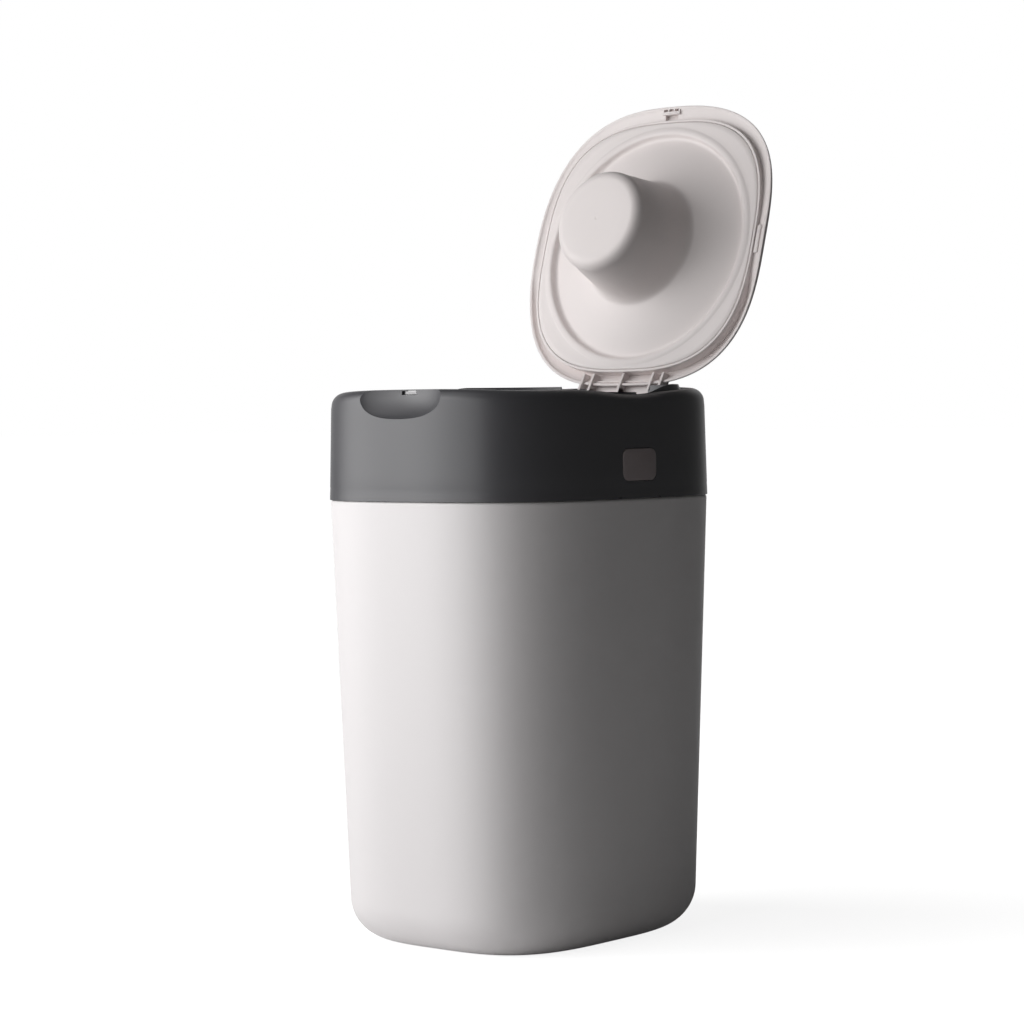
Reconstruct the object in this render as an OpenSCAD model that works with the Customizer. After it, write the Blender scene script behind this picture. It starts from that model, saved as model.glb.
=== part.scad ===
// Nappy bin: a tapered tub, a tilting head with a twist ring and film cassette,
// and a hinged lid with a plunger. Millimetres, +Z up, origin at the centre of the base.
// -Y is the front (finger scoop), +X the release button side, +Y the lid hinge side.
// The lid is drawn open, leaning back against its stop.

/* [Tub] */
// Half width of the tub at the seam, side to side
tub_half_x = 117.4; // [112:0.2:124]
// How much more the tub's half depth is than its half width
tub_extra = 24.6; // [22:0.2:30]
// Height of the seam line where the tub's outer wall ends
seam_z = 338.3; // [300:1:380]
// Draft of the tub wall, millimetres of half depth per millimetre of height
tub_draft = 0.0388; // [0.02:0.001:0.05]
// Squareness of the plan at the seam
plan_n = 3.28; // [2.8:0.02:3.8]
// Squareness of the plan at the base
base_n = 3.4; // [2.8:0.02:4]
// Width of the rounding at the foot of the tub
foot_round_w = 30; // [20:1:34]
// Height of the rounding at the foot of the tub
foot_round_h = 31.6; // [20:0.2:38]
// Wall of the tub
tub_wall = 2.6; // [2:0.1:3]
// Floor of the tub
tub_floor = 3.4; // [2.8:0.1:5]
// Height of the shoulder above the seam line
shoulder_h = 1.7; // [1:0.1:2.4]
// Height of the inner spigot above the shoulder
spigot_h = 5; // [3:0.2:6]
// Wall of the inner spigot
spigot_t = 1.8; // [1.4:0.1:2.2]
// Radius of a rubber pad under the base
pad_r = 13; // [8:0.5:15]
// Thickness of a rubber pad
pad_t = 1.6; // [1:0.1:2]

/* [Head] */
// Height of the head from its lower edge to its front corners
head_h = 84; // [78:0.5:96]
// Overhang of the head over the tub at the seam
head_over = 0.6; // [0.4:0.1:1.2]
// Draft of the head wall
head_draft = 0.022; // [0.01:0.002:0.026]
// Wall of the head casing
head_wall = 2.6; // [2:0.1:2.8]
// Width of the rounding along the top edge of the head
crest_w = 7; // [5:0.5:8]
// Height of the rounding along the top edge of the head
crest_h = 8; // [5:0.5:9]
// Growth of that rounding, in width and in height, at the corners
crest_grow = 2.5; // [0:0.5:3]
// Fall of the top edge at the corners
corner_drop = 2.2; // [0:0.1:2.6]
// Dip of the top edge at the middle of each side
dip_side = 5.6; // [4.6:0.1:5.8]
// Dip of the top edge at the middle of the front
dip_front = 0.3; // [0:0.1:1]
// Rise of the top edge along the back
back_rise = 1.8; // [0:0.1:2]
// Plane of the lid's seat below the front corners of the head
lid_low = 4.6; // [4.2:0.1:4.8]
// Top of the deck below the front corners of the head
deck_drop = 7.9; // [7.6:0.1:8.6]
// Thickness of the deck
deck_t = 3; // [2.4:0.2:3.6]
// Half width of the finger scoop
scoop_half = 43.5; // [32:0.5:46]
// Height of the finger scoop below the front corners of the head
scoop_h = 22.8; // [18:0.2:26]
// Top of the rib behind the lid's seat, below the front corners of the head
rib_high = -2.5; // [-2.8:0.1:0]

/* [Lid] */
// How much more the lid's half depth is than its half width
lid_extra = 3.2; // [2:0.1:3.6]
// Squareness of the lid's outline
lid_n = 2.78; // [2.7:0.02:2.86]
// Offset of the lid's outline towards the front
lid_shift = 1.1; // [0.6:0.1:1.6]
// Width of the rounding of the lid's edge
lid_round_w = 25; // [23:0.5:28]
// Height of the rounding of the lid's edge
lid_round_h = 14; // [13.6:0.2:17]
// Wall of the lid shell
lid_wall = 2.3; // [2:0.1:2.5]
// Rise of the lid's lower edge at its corners
lid_wave = 3.4; // [2.4:0.1:3.8]
// Distance of the inner panel's edge from the lid's edge at the sides
panel_inset = 10.9; // [10.6:0.1:12]
// Angle of the open lid
lid_open = 107.2; // [95:0.2:108]
// Distance of the ring bead from the panel's edge
bead_inset = 10.1; // [9.6:0.1:11]
// Length of the plunger below the ring plane
plunger_h = 68.3; // [55:0.5:74]
// Space between the plunger's root and the throat
plunger_space = 7; // [5:0.5:12]
// How much the plunger tapers to its end
plunger_taper = 6.9; // [3:0.1:9]
// Rounding of the plunger's end
plunger_round = 9; // [5:0.5:11]

/* [Twist ring and cassette] */
// Space between the ring bead and the twist ring's collar
collar_space = 6; // [5:0.5:8]
// Width of the collar's flange
collar_w = 3; // [2.6:0.1:3.4]
// Height of the collar above the deck
collar_h = 4.4; // [3.6:0.1:4.6]
// Width of the film cassette's seat, from the bowl's wall to the throat
seat_w = 31; // [28:0.5:33]
// Number of ratchet teeth
teeth = 24; // [16:4:32]

/* [Button and latches] */
// Width of the release button along the side
button_w = 40.4; // [34:0.4:46]
// Height of the release button
button_h = 24.2; // [20:0.2:26]
// Height of the button's centre above the seam
button_up = 27.5; // [25:0.5:32]
// Corner radius of the button
button_round = 6; // [3:0.5:9]
// Travel of the release button
button_travel = 3.5; // [3:0.1:4]
// Width of the lid catch
catch_w = 11; // [9:0.2:13]
// Offset of the lid catch to the right of the middle
catch_x = 1.3; // [-2:0.1:3]

/* [Cutter] */
// Length of the cutter's slider
slider_len = 30; // [24:1:31]

/* [Hidden] */

// Clearances
gap = 0.3;           // between pieces of different bodies
run = 0.05;          // radial, a pin in its bore
snug = 0.02;         // radial, a pin held by its own body
slot_play = 0.4;     // round a sliding piece in its window
eps = 0.01;

// Sampling of the lofted shells
steps = 72;
arc_steps = 6;

// Plan sizes
tub_half_y = tub_half_x + tub_extra;
plan_ratio = tub_half_x / tub_half_y;
head_x = tub_half_x + head_over;
head_y = tub_half_y + head_over;
lid_half_x = head_x;
lid_half_y = lid_half_x + lid_extra;
panel_half = lid_half_x - panel_inset;
bead_r = panel_half - bead_inset;
collar_r = bead_r - collar_space;
bowl_r = collar_r - collar_w;
throat_r = bowl_r - seat_w;
plunger_root_r = throat_r - plunger_space;
plunger_tip_r = plunger_root_r - plunger_taper - 0.8;

// Heights
shoulder_z = seam_z + shoulder_h;
spigot_z = shoulder_z + spigot_h;
head_z = shoulder_z + gap;
crest_z = head_z + head_h;
deck_z = crest_z - deck_drop;
deck_under = deck_z - deck_t;
side_z = crest_z - lid_low;
ring_z = side_z + 0.9;             // plane of the lid's ring when the lid is closed
rim_z = side_z + 0.6;              // lower edge of the closed lid at its sides
base_z = shoulder_z + 2.3;         // underside of the head's base
base_t = 3;

// Seat of the closed lid along the top edge of the head
rib_w = 3.4;
pocket_slope = 2.5;

// Lid shell and panel
wall_t = 2;
panel_n = 2.9;
panel_z = ring_z - 0.8;
crown = 0.8;
channel_front = 0.3;
panel_skin = 2;
bead_w = 6.4;
recess_up = 3;             // floor of the panel's recess behind the ring plane
crease_h = 8.8;            // the plunger starts this far below the ring plane
crease_r = plunger_root_r + 4.4;
dish_r = bead_r - 1.4;

// Lid hinge axis, level with the lid's edge and just behind it
hinge_y = lid_half_y - lid_shift + 6.1;
hinge_z = rim_z + 0.7;
hinge_pin_r = 1.6;
hinge_eye_r = 4.1;
arm_t = 2.4;
arm_gap = 7.7;
arm_in_x = lid_half_x / 4;
arm_out_x = arm_in_x + arm_gap + 2 * arm_t;
arm_root_y = panel_half + wall_t - 0.4;
flap_r = hinge_eye_r + 2.2;
notch_x = arm_out_x + 4;
notch_y = panel_half - 8;

// Tilt hinge of the head, along the left side
tilt_eye_r = 3.4;
tilt_pin_r = 1.5;
tilt_x = -(head_x + tilt_eye_r + 0.4);
tilt_z = shoulder_z + gap / 2;
knuckle_in = 16;
knuckle_out = 34;
knuckle_end = 46;
knuckle_gap = 0.4;

// Twist ring
collar_top = deck_z + collar_h;
bowl_t = 2;
bowl_floor_z = base_z + base_t + 10.7;
neck_t = 2.4;
neck_hole_r = throat_r + neck_t + gap;
tooth_h = 2.4;
tooth_z = deck_under - 17.4;
tooth_t = 8;

// Cassette, seated on the bowl's floor
cas_out = bowl_r - bowl_t - 1.2;
cas_in = throat_r + 1.2;
cas_z = bowl_floor_z + bowl_t + gap;
cas_t = 1.8;
cas_top = deck_under - 11.1;
cassette_h = cas_top - cas_z;

// Release button and latch
button_z = seam_z + button_up;
plate_x = head_x - 10.8;
plate_t = 3;
leg_w = 16;
leg_low = shoulder_z - 18;
nose_h = 4;
nose_out = 1.3;
spring_r = 4;
screw_r = 1.5;
guide_w = 2.4;
guide_y = 15;
rest_wall_x = bowl_r + 3.6;
post_r = 5;
post_bore_r = 1.7;
post_x = bowl_r - 4;
post_y = bowl_r;

// Finger scoop and the lid catch behind it
scoop_n = 2.5;
scoop_plan_n = 1.7;
scoop_side_n = 1.5;
scoop_back = -(lid_half_y + lid_shift + 5.2);
scoop_skin = 1.4;
scoop_wall = 2.4;
catch_z = deck_z + 0.8;
catch_top = crest_z - 1.7;
catch_bar_h = 2.2;
catch_leg_y = scoop_back + scoop_skin + gap;
catch_t = 1.2;
hook_y = -(lid_half_y + lid_shift) + 7.4;
hook_t = 1.6;
// Middle of the latch tab on the lid, and its height in the channel
latch_y = hook_y - 3.6;
latch_block = 3.6;
catch_leg = 10;
catch_travel = 2;
latch_w = 18;
catch_spring_l = 8;

// Pawl
pawl_a = 205;
pawl_post_r = bowl_r + 14;
pawl_pin_r = 1.5;

// Cutter, under the head's base in front of the throat
rail_y = -(throat_r + 22);
rail_w = 26;
rail_h = 10;
rail_wall = 3;
rail_len = 2 * (throat_r - 9);

// ---------- shape helpers ----------

// Radius of a superellipse at an angle
function super_r(a, rx, ry, n) =
    pow(pow(abs(cos(a)) / rx, n) + pow(abs(sin(a)) / ry, n), -1 / n);
// Wave that is one at the corners and zero at the middles of the sides
function corner(a) = pow(sin(2 * a), 2);
function angle(i) = 360 * i / steps;
// One ring of points: half sizes, squareness, height, height of the corner wave, y offset
function ring(rx, ry, n, z, wave = 0, dy = 0) =
    [for (i = [0:steps - 1]) let (a = angle(i), r = super_r(a, rx, ry, n))
        [r * cos(a), dy + r * sin(a), z + wave * corner(a)]];
function flat_ring(rx, ry, n) = [for (p = ring(rx, ry, n, 0)) [p.x, p.y]];

// Solid through a list of rings, capped at both ends
module loft(rings) {
    m = steps;
    k = len(rings);
    points = [for (r = rings) each r];
    low = [for (i = [0:m - 1]) i];
    high = [for (i = [m - 1:-1:0]) (k - 1) * m + i];
    polyhedron(points, concat(skin(m, k, k - 1), [low], [high]), convexity = 8);
}

// Closed band through a list of rings, the last joined to the first
module band(rings) {
    points = [for (r = rings) each r];
    polyhedron(points, skin(steps, len(rings), len(rings)), convexity = 8);
}

// Triangles between neighbouring rings, clockwise seen from outside
function skin(m, k, spans) = [for (j = [0:spans - 1], i = [0:m - 1])
    let (i2 = (i + 1) % m, lo = j * m, hi = ((j + 1) % k) * m)
    each [[lo + i, hi + i, hi + i2], [lo + i, hi + i2, lo + i2]]];

// Flat plate with a superellipse outline
module plate(rx, ry, n, z, t) {
    translate([0, 0, z]) linear_extrude(t) polygon(flat_ring(rx, ry, n));
}

// Straight tube about Z
module tube(r_out, r_in, z, h) {
    translate([0, 0, z]) difference() {
        cylinder(r = r_out, h = h, $fn = 96);
        translate([0, 0, -1]) cylinder(r = r_in, h = h + 2, $fn = 96);
    }
}

// Box between two corners
module box(a, b) {
    translate(a) cube(b - a);
}

// Cylinder along X or Y about its middle
module rod_x(r, x0, x1, y, z) {
    translate([x0, y, z]) rotate([0, 90, 0]) cylinder(r = r, h = x1 - x0, $fn = 48);
}
module rod_y(r, y0, y1, x, z) {
    translate([x, y0, z]) rotate([-90, 0, 0]) cylinder(r = r, h = y1 - y0, $fn = 48);
}

// Coil spring of round wire along +Z from the origin
module coil(r, wire, length, turns) {
    per_turn = 14;
    sides = 8;
    n = turns * per_turn;
    points = [for (i = [0:n], j = [0:sides - 1])
        let (a = 360 * i / per_turn, b = 360 * j / sides, rr = r + wire * cos(b))
        [rr * cos(a), rr * sin(a), wire + (length - 2 * wire) * i / n + wire * sin(b)]];
    wrap = [for (i = [0:n - 1], j = [0:sides - 1]) let (j2 = (j + 1) % sides)
        each [[i * sides + j, i * sides + j2, (i + 1) * sides + j2],
              [i * sides + j, (i + 1) * sides + j2, (i + 1) * sides + j]]];
    start = [[for (j = [sides - 1:-1:0]) j]];
    end = [[for (j = [0:sides - 1]) n * sides + j]];
    polyhedron(points, concat(wrap, start, end), convexity = 8);
}

// Places a piece drawn on the closed lid where the open lid holds it
module on_open_lid() {
    translate([0, hinge_y, hinge_z]) rotate([-lid_open, 0, 0])
        translate([0, -hinge_y, -hinge_z]) children();
}

// ---------- tub ----------

function foot_in(z, w, h) = z >= h ? 0 : w * (1 - sqrt(1 - pow(1 - z / h, 2)));
function tub_in(z) = tub_draft * (seam_z - z) + foot_in(z, foot_round_w, foot_round_h);
function tub_inner_in(z) = tub_draft * (seam_z - z)
    + foot_in(z - tub_floor, foot_round_w - tub_wall, foot_round_h - tub_floor);
function tub_n(z) = base_n + (plan_n - base_n) * z / seam_z;
// Ring of the tub: an inset of its form in proportion, then a wall of even thickness
function tub_ring(inset, z, wall = 0) = let (hy = tub_half_y - inset)
    ring(hy * plan_ratio - wall, hy - wall, tub_n(z), z);
// Heights of the rings up the foot rounding
function foot_z(i, h) = h * (1 - cos(90 * i / arc_steps));

module tub() color("whitesmoke") {
    spigot_in = head_wall + gap;
    inner_top = seam_z - 8;
    rings = concat(
        [for (i = [0:arc_steps]) let (z = foot_z(i, foot_round_h)) tub_ring(tub_in(z), z)],
        [tub_ring(tub_in(seam_z / 2), seam_z / 2), tub_ring(0, seam_z),
         tub_ring(0.35, seam_z + shoulder_h * 0.6), tub_ring(1.1, shoulder_z),
         tub_ring(0, shoulder_z, spigot_in), tub_ring(0, spigot_z, spigot_in),
         tub_ring(0, spigot_z, spigot_in + spigot_t), tub_ring(0, seam_z - 3, spigot_in + spigot_t),
         tub_ring(tub_inner_in(inner_top), inner_top, tub_wall)],
        [for (i = [arc_steps:-1:0]) let (z = tub_floor + foot_z(i, foot_round_h - tub_floor))
            tub_ring(tub_inner_in(z), z, tub_wall)]);
    difference() {
        union() {
            loft(rings);
            for (s = [-1, 1]) tilt_knuckle_tub(s);
        }
        for (s = [-1, 1]) tub_bore(s);
        for (p = pad_places()) translate([p.x, p.y, -1]) cylinder(r = pad_r + 0.2, h = 1 + pad_t, $fn = 48);
        for (s = [-1, 1]) rod_x(screw_r + snug, keeper_x - 3, keeper_x + 1.5, s * keeper_y, keeper_mid);
    }
}

module tub_bore(s) {
    mid = (knuckle_in + knuckle_out) / 2;
    half = (knuckle_out - knuckle_in) / 2 + 3;
    rod_y(tilt_pin_r + snug, s * mid - half, s * mid + half, tilt_x, tilt_z);
}

module tilt_knuckle_tub(s) {
    y0 = min(s * knuckle_in, s * knuckle_out);
    y1 = max(s * knuckle_in, s * knuckle_out);
    rod_y(tilt_eye_r, y0, y1, tilt_x, tilt_z);
    box([tilt_x, y0, seam_z - 8], [-(tub_half_x - 1.6), y1, seam_z - 0.2]);
}

pad_inset = 28.3;
function pad_places() = let (hy = tub_half_y - tub_in(0))
    [for (sx = [-1, 1], sy = [-1, 1]) [sx * (hy * plan_ratio - pad_inset), sy * (hy - pad_inset)]];

module tub_pads() color("dimgray") {
    for (p = pad_places()) translate([p.x, p.y, 0]) cylinder(r = pad_r, h = pad_t, $fn = 48);
}

// Inner face of the tub's wall behind the keeper
keeper_low = leg_low - 1;
keeper_x = (tub_half_y - tub_inner_in(keeper_low)) * plan_ratio - tub_wall - snug;
keeper_t = 1.2;
keeper_y = leg_w / 2 + 6;
keeper_mid = keeper_low + 5;

module latch_keeper() color("silver") {
    difference() {
        box([keeper_x - keeper_t, -keeper_y - 4, keeper_low], [keeper_x, keeper_y + 4, keeper_low + 8.6]);
        box([keeper_x - 3, -leg_w / 2 - 1, leg_low], [keeper_x + 1, leg_w / 2 + 1, leg_low + nose_h + 0.6]);
        for (s = [-1, 1]) rod_x(screw_r + snug, keeper_x - 3, keeper_x + 1, s * keeper_y, keeper_mid);
    }
}

module keeper_screws() color("gray") {
    for (s = [-1, 1]) {
        rod_x(screw_r, keeper_x - keeper_t - eps, keeper_x + 1.4, s * keeper_y, keeper_mid);
        rod_x(2.8, keeper_x - keeper_t - 1.3, keeper_x - keeper_t, s * keeper_y, keeper_mid);
    }
}

module tilt_hinge_pin() color("silver") {
    rod_y(tilt_pin_r, -knuckle_end, knuckle_end, tilt_x, tilt_z);
}

// ---------- head ----------

// Half sizes of the head's outer face at a height, less an inset
function head_ring_r(a, z, inset) = let (d = head_draft * (z - head_z) + inset)
    super_r(a, head_x - d, head_y - d, plan_n);
// Rise from nothing at the middle of a side to one along the back
function to_back(a) = let (t = min(1, max(0, (sin(a) - 0.17) / 0.33))) t * t * (3 - 2 * t);
function crest_at(a) = crest_z + back_rise * to_back(a) - corner_drop * pow(corner(a), 3)
    - pow(cos(2 * a), 2) * (dip_side * pow(cos(a), 2) + dip_front * pow(sin(a), 2));
// Seat for the closed lid, just under its edge
function seat_at(a) = min(crest_at(a), side_z + lid_wave * corner(a));
// The lid's outline from the axis of the head
function lid_r(a) = super_r(a, lid_half_x, lid_half_y, lid_n);
function pocket_r(a) = lid_r(a) + 0.9 + 2.1 * to_back(a) - lid_shift * sin(a);
// Inner edge of the lid's seat, outside the wall round the panel
function seat_in_r(a) = super_r(a, panel_half + wall_t + 1.2, panel_half + wall_t + 1.2, panel_n)
    - lid_shift * 0.7 * sin(a);
// Width and height of the rounding along the top edge
function round_w(a) = crest_w + crest_grow * corner(a);
function round_h(a) = crest_h + crest_grow * corner(a);
// Share of the rounding's width that is left outside the seat
function round_share(a) = let (r0 = head_ring_r(a, crest_z, 0), r1 = head_ring_r(a, crest_z, round_w(a)))
    min(1, (r0 - seat_in_r(a) - 0.3) / (r0 - r1));
function round_in_r(a) = head_ring_r(a, crest_z, round_w(a) * round_share(a));
// Inner edge of the crest, above a steep side that falls to the seat
function crest_in_r(a) = min(pocket_r(a) + (crest_at(a) - seat_at(a)) / pocket_slope,
    round_in_r(a) - eps);
function pocket_in_r(a) = min(pocket_r(a), crest_in_r(a) - eps);
function round_drop(a, inset) = let (w = round_w(a))
    round_h(a) * (1 - sqrt(1 - pow(1 - min(inset, w) / w, 2)));
function side_at(a, r) = seat_at(a) + max(0, r - pocket_r(a)) * pocket_slope;
function crest_point(a, share) = let (inset = round_w(a) * share * round_share(a),
    r = head_ring_r(a, crest_z, inset)) polar(r, a, min(crest_at(a) - round_drop(a, inset), side_at(a, r)));
// Rib along the inner edge of the seat, a low lip in front and a high rib behind
function rib_room(a) = min(rib_w, pocket_in_r(a) - eps - seat_in_r(a));
function rib_z(a) = seat_at(a) + 0.2 + to_back(a) * max(0, crest_z - rib_high - seat_at(a) - 0.2);
function rib_point(a, share, z) = polar(seat_in_r(a) + share * rib_room(a), a, z);
function polar(r, a, z) = [r * cos(a), r * sin(a), z];
module head_shell() {
    turn = [for (i = [0:steps - 1]) angle(i)];
    shares = [for (i = [0:arc_steps]) 1 - cos(90 * i / arc_steps)];
    band(concat(
        [[for (a = turn) polar(head_ring_r(a, head_z, 0), a, head_z)]],
        [for (t = shares) [for (a = turn) crest_point(a, t)]],
        [[for (a = turn) polar(crest_in_r(a), a, min(crest_at(a), side_at(a, crest_in_r(a))))],
         [for (a = turn) polar(pocket_in_r(a), a, seat_at(a))],
         [for (a = turn) rib_point(a, 1, seat_at(a))],
         [for (a = turn) rib_point(a, 0.55, rib_z(a))],
         [for (a = turn) rib_point(a, 0.25, rib_z(a))],
         [for (a = turn) rib_point(a, 0, seat_at(a))],
         [for (a = turn) polar(seat_in_r(a), a, deck_z)],
         [for (a = turn) polar(head_ring_r(a, deck_z, head_wall + 0.6), a, deck_z)],
         [for (a = turn) polar(head_ring_r(a, head_z, head_wall), a, head_z)]]));
}

// Depth of the scoop's slanted back as a share, where it is k of the scoop's width
function scoop_in(k) = pow(1 - pow(1 - pow(k, scoop_n), scoop_side_n / scoop_n), 1 / scoop_side_n);

// Bowl of the finger scoop, grown by a wall, with its upper edge carried up past the crest
module scoop_bowl(grow) {
    deep = scoop_h - 2 + grow;
    half_x = scoop_half + grow;
    half_y = head_y + scoop_back + grow;
    levels = [0.1, 0.35, 0.6, 0.78, 0.9, 0.97, 1];
    loft(concat(
        [for (k = levels) ring(half_x * k, half_y * scoop_in(k), scoop_plan_n,
            crest_z - 2 - deep * pow(1 - pow(k, scoop_n), 1 / scoop_n), 0, -head_y)],
        [ring(half_x, half_y, scoop_plan_n, crest_z + 10, 0, -head_y)]));
}

module head_casing() color([0.28, 0.28, 0.29]) {
    catch_lo = catch_x - catch_w / 2;
    catch_hi = catch_x + catch_w / 2;
    leg_end_y = catch_leg_y + catch_t + catch_travel;
    notch_at = button_w * 0.6;
    difference() {
        union() {
            head_shell();
            scoop_liner();
            for (s = [-1, 0, 1]) tilt_knuckle_head(s);
        }
        scoop_bowl(0);
        button_window();
        // notch for the lid's hinge, and the lower edge behind it where the open lid leans
        box([-notch_x, notch_y, deck_z - 1], [notch_x, hinge_y + flap_r + 1.2, crest_z + 9]);
        box([-notch_x, notch_y, hinge_z + 0.4], [notch_x, hinge_y + 10.2, crest_z + 9]);
        // slot for the bar of the lid catch, and the space behind it
        box([catch_lo - 3.6, scoop_back - 3, catch_top - catch_bar_h - slot_play],
            [catch_hi + slot_play, catch_leg_y, catch_top + slot_play]);
        box([catch_lo - slot_play, scoop_back + scoop_skin, catch_z - slot_play],
            [catch_hi + slot_play, leg_end_y + slot_play + 4, catch_top + slot_play]);
        box([catch_lo - slot_play, leg_end_y, deck_z - 1],
            [catch_hi + slot_play, hook_y + hook_t + catch_travel + slot_play, catch_top + slot_play]);
        rod_y(tilt_pin_r + run, -knuckle_end - 10, knuckle_end + 10, tilt_x, tilt_z);
        // notches under the button
        for (s = [-1, 1])
            box([head_x - 5, s * notch_at - 1.2, head_z - 1],
                [head_x + 2, s * notch_at + 1.2, head_z + 1.2]);
    }
}

// Wall behind the scoop, so that the casing stays closed there
module scoop_liner() {
    low = crest_z - scoop_h - 3;
    intersection() {
        plate(head_x - 2, head_y - 2, plan_n, low, deck_z + 0.5 - low);
        scoop_bowl(scoop_wall);
    }
}

module tilt_knuckle_head(s) {
    outer = knuckle_out + knuckle_gap;
    y0 = s == 0 ? -knuckle_in + knuckle_gap : s > 0 ? outer : -knuckle_end;
    y1 = s == 0 ? knuckle_in - knuckle_gap : s > 0 ? knuckle_end : -outer;
    rod_y(tilt_eye_r, y0, y1, tilt_x, tilt_z);
    box([tilt_x, y0, head_z + 0.1], [-(head_x - 1.4), y1, head_z + 8]);
}

module button_outline(grow) {
    r = button_round + grow;
    w = button_w / 2 - button_round;
    h = button_h / 2 - button_round;
    for (sy = [-1, 1], sz = [-1, 1]) translate([sy * w, sz * h]) circle(r = r, $fn = 40);
    square([2 * w, 2 * (h + r)], center = true);
    square([2 * (w + r), 2 * h], center = true);
}

// Extrudes a Y-Z outline along X from x0 to x1 at the button
module along_x(x0, x1) {
    translate([x0, 0, button_z]) rotate([90, 0, 90]) linear_extrude(x1 - x0) children();
}

module button_window() {
    along_x(head_x - 8, head_x + 4) button_outline(slot_play);
}

module head_deck() color([0.33, 0.33, 0.34]) {
    in_x = head_x - head_draft * head_h - head_wall - 1.4;
    in_y = head_y - head_draft * head_h - head_wall - 1.4;
    difference() {
        plate(in_x, in_y, plan_n, deck_under, deck_t);
        translate([0, 0, deck_under - 20]) cylinder(r = bowl_r + gap, h = 40, $fn = 96);
        // slot for the leg of the catch
        box([catch_x - catch_w / 2 - slot_play, hook_y - slot_play, deck_under - 1],
            [catch_x + catch_w / 2 + slot_play, hook_y + hook_t + catch_travel + slot_play, deck_z + 1]);
        // clearance behind the scoop
        box([-(scoop_half + scoop_wall + 2), -head_y, deck_under - 1],
            [scoop_half + scoop_wall + 2, scoop_back + scoop_wall + gap, deck_z + 1]);
    }
}

module deck_skirt() color([0.33, 0.33, 0.34]) {
    tube(bowl_r + 3, bowl_r + gap, deck_under - 9, 9);
}

module pawl_post() color([0.33, 0.33, 0.34]) {
    low = tooth_z + tooth_t + gap;
    difference() {
        translate(polar(pawl_post_r, pawl_a, low)) cylinder(r = 4, h = deck_under - low, $fn = 40);
        translate(polar(pawl_post_r, pawl_a, low - 1))
            cylinder(r = pawl_pin_r + snug, h = deck_under - low, $fn = 40);
    }
}

// Wall under the deck that carries the catch spring
module catch_stop() color([0.33, 0.33, 0.34]) {
    y0 = hook_y + hook_t + catch_spring_l;
    box([catch_x - 5, y0, deck_under - catch_leg - 1], [catch_x + 5, y0 + 2, deck_under]);
}

module hinge_lugs() color([0.33, 0.33, 0.34]) {
    difference() {
        for (s = [-1, 1]) hinge_lug(s);
        for (s = [-1, 1]) lug_bore(s);
    }
}

module hinge_lug(s) {
    x0 = s > 0 ? arm_in_x + arm_t + gap : -(arm_in_x + arm_t + arm_gap - gap);
    x1 = x0 + arm_gap - 2 * gap;
    rod_x(hinge_eye_r, x0, x1, hinge_y, hinge_z);
    box([x0, hinge_y - hinge_eye_r, deck_z], [x1, hinge_y + hinge_eye_r * 0.6, hinge_z]);
}

module lug_bore(s) {
    x0 = s > 0 ? arm_in_x : -arm_out_x;
    rod_x(hinge_pin_r + run, x0, x0 + arm_gap + 2 * arm_t, hinge_y, hinge_z);
}

module deck_seal() color([0.15, 0.15, 0.15]) {
    seal_h = ring_z - 1.6 - gap - deck_z;
    tube(bead_r + 6, bead_r - 1, deck_z, seal_h);
}

// Columns between the head's base and its deck
function post_places() = [for (sx = [-1, 1], sy = [-1, 1]) [sx * post_x, sy * post_y]];

module head_base() color([0.33, 0.33, 0.34]) {
    in_x = tub_half_x - head_wall - spigot_t - gap - 1.6;
    in_y = tub_half_y - head_wall - spigot_t - gap - 1.6;
    difference() {
        plate(in_x, in_y, plan_n, base_z, base_t);
        translate([0, 0, base_z - 1]) cylinder(r = neck_hole_r, h = base_t + 2, $fn = 96);
        for (p = post_places()) translate([p.x, p.y, base_z - 1])
            cylinder(r = post_bore_r, h = base_t + 2, $fn = 32);
        // slot for the latch bar's leg
        box([plate_x - button_travel - slot_play, -leg_w / 2 - slot_play, base_z - 1],
            [plate_x + plate_t + slot_play, leg_w / 2 + slot_play, base_z + base_t + 1]);
    }
}

module neck_guide() color([0.33, 0.33, 0.34]) {
    low = base_z + base_t;
    tube(neck_hole_r + 2.6, neck_hole_r, low, bowl_floor_z - low - gap);
}

module deck_posts() color([0.33, 0.33, 0.34]) {
    low = base_z + base_t;
    for (p = post_places()) translate([p.x, p.y, low]) difference() {
        cylinder(r = post_r, h = deck_under - low, $fn = 40);
        translate([0, 0, -1]) cylinder(r = post_bore_r, h = 11, $fn = 32);
    }
}

// Rails beside the latch bar, and the wall that carries the button spring
module bar_guides() color([0.33, 0.33, 0.34]) {
    low = base_z + base_t;
    for (s = [-1, 1])
        box([plate_x - 6, s * (guide_y + guide_w / 2) - guide_w / 2, low],
            [plate_x + plate_t + 2, s * (guide_y + guide_w / 2) + guide_w / 2, button_z - 14]);
    box([rest_wall_x, -8, low], [rest_wall_x + 2, 8, button_z + 6]);
}

module base_screws() color("silver") {
    for (p = post_places()) {
        translate([p.x, p.y, base_z - eps]) cylinder(r = post_bore_r - snug, h = base_t + 9, $fn = 32);
        translate([p.x, p.y, base_z - 1.6]) cylinder(r = 2 * post_bore_r, h = 1.6, $fn = 32);
    }
}

// ---------- release button and its latch ----------

module release_button() color([0.45, 0.45, 0.46]) {
    along_x(plate_x + plate_t, head_x - 0.1) button_outline(0);
}

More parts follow.
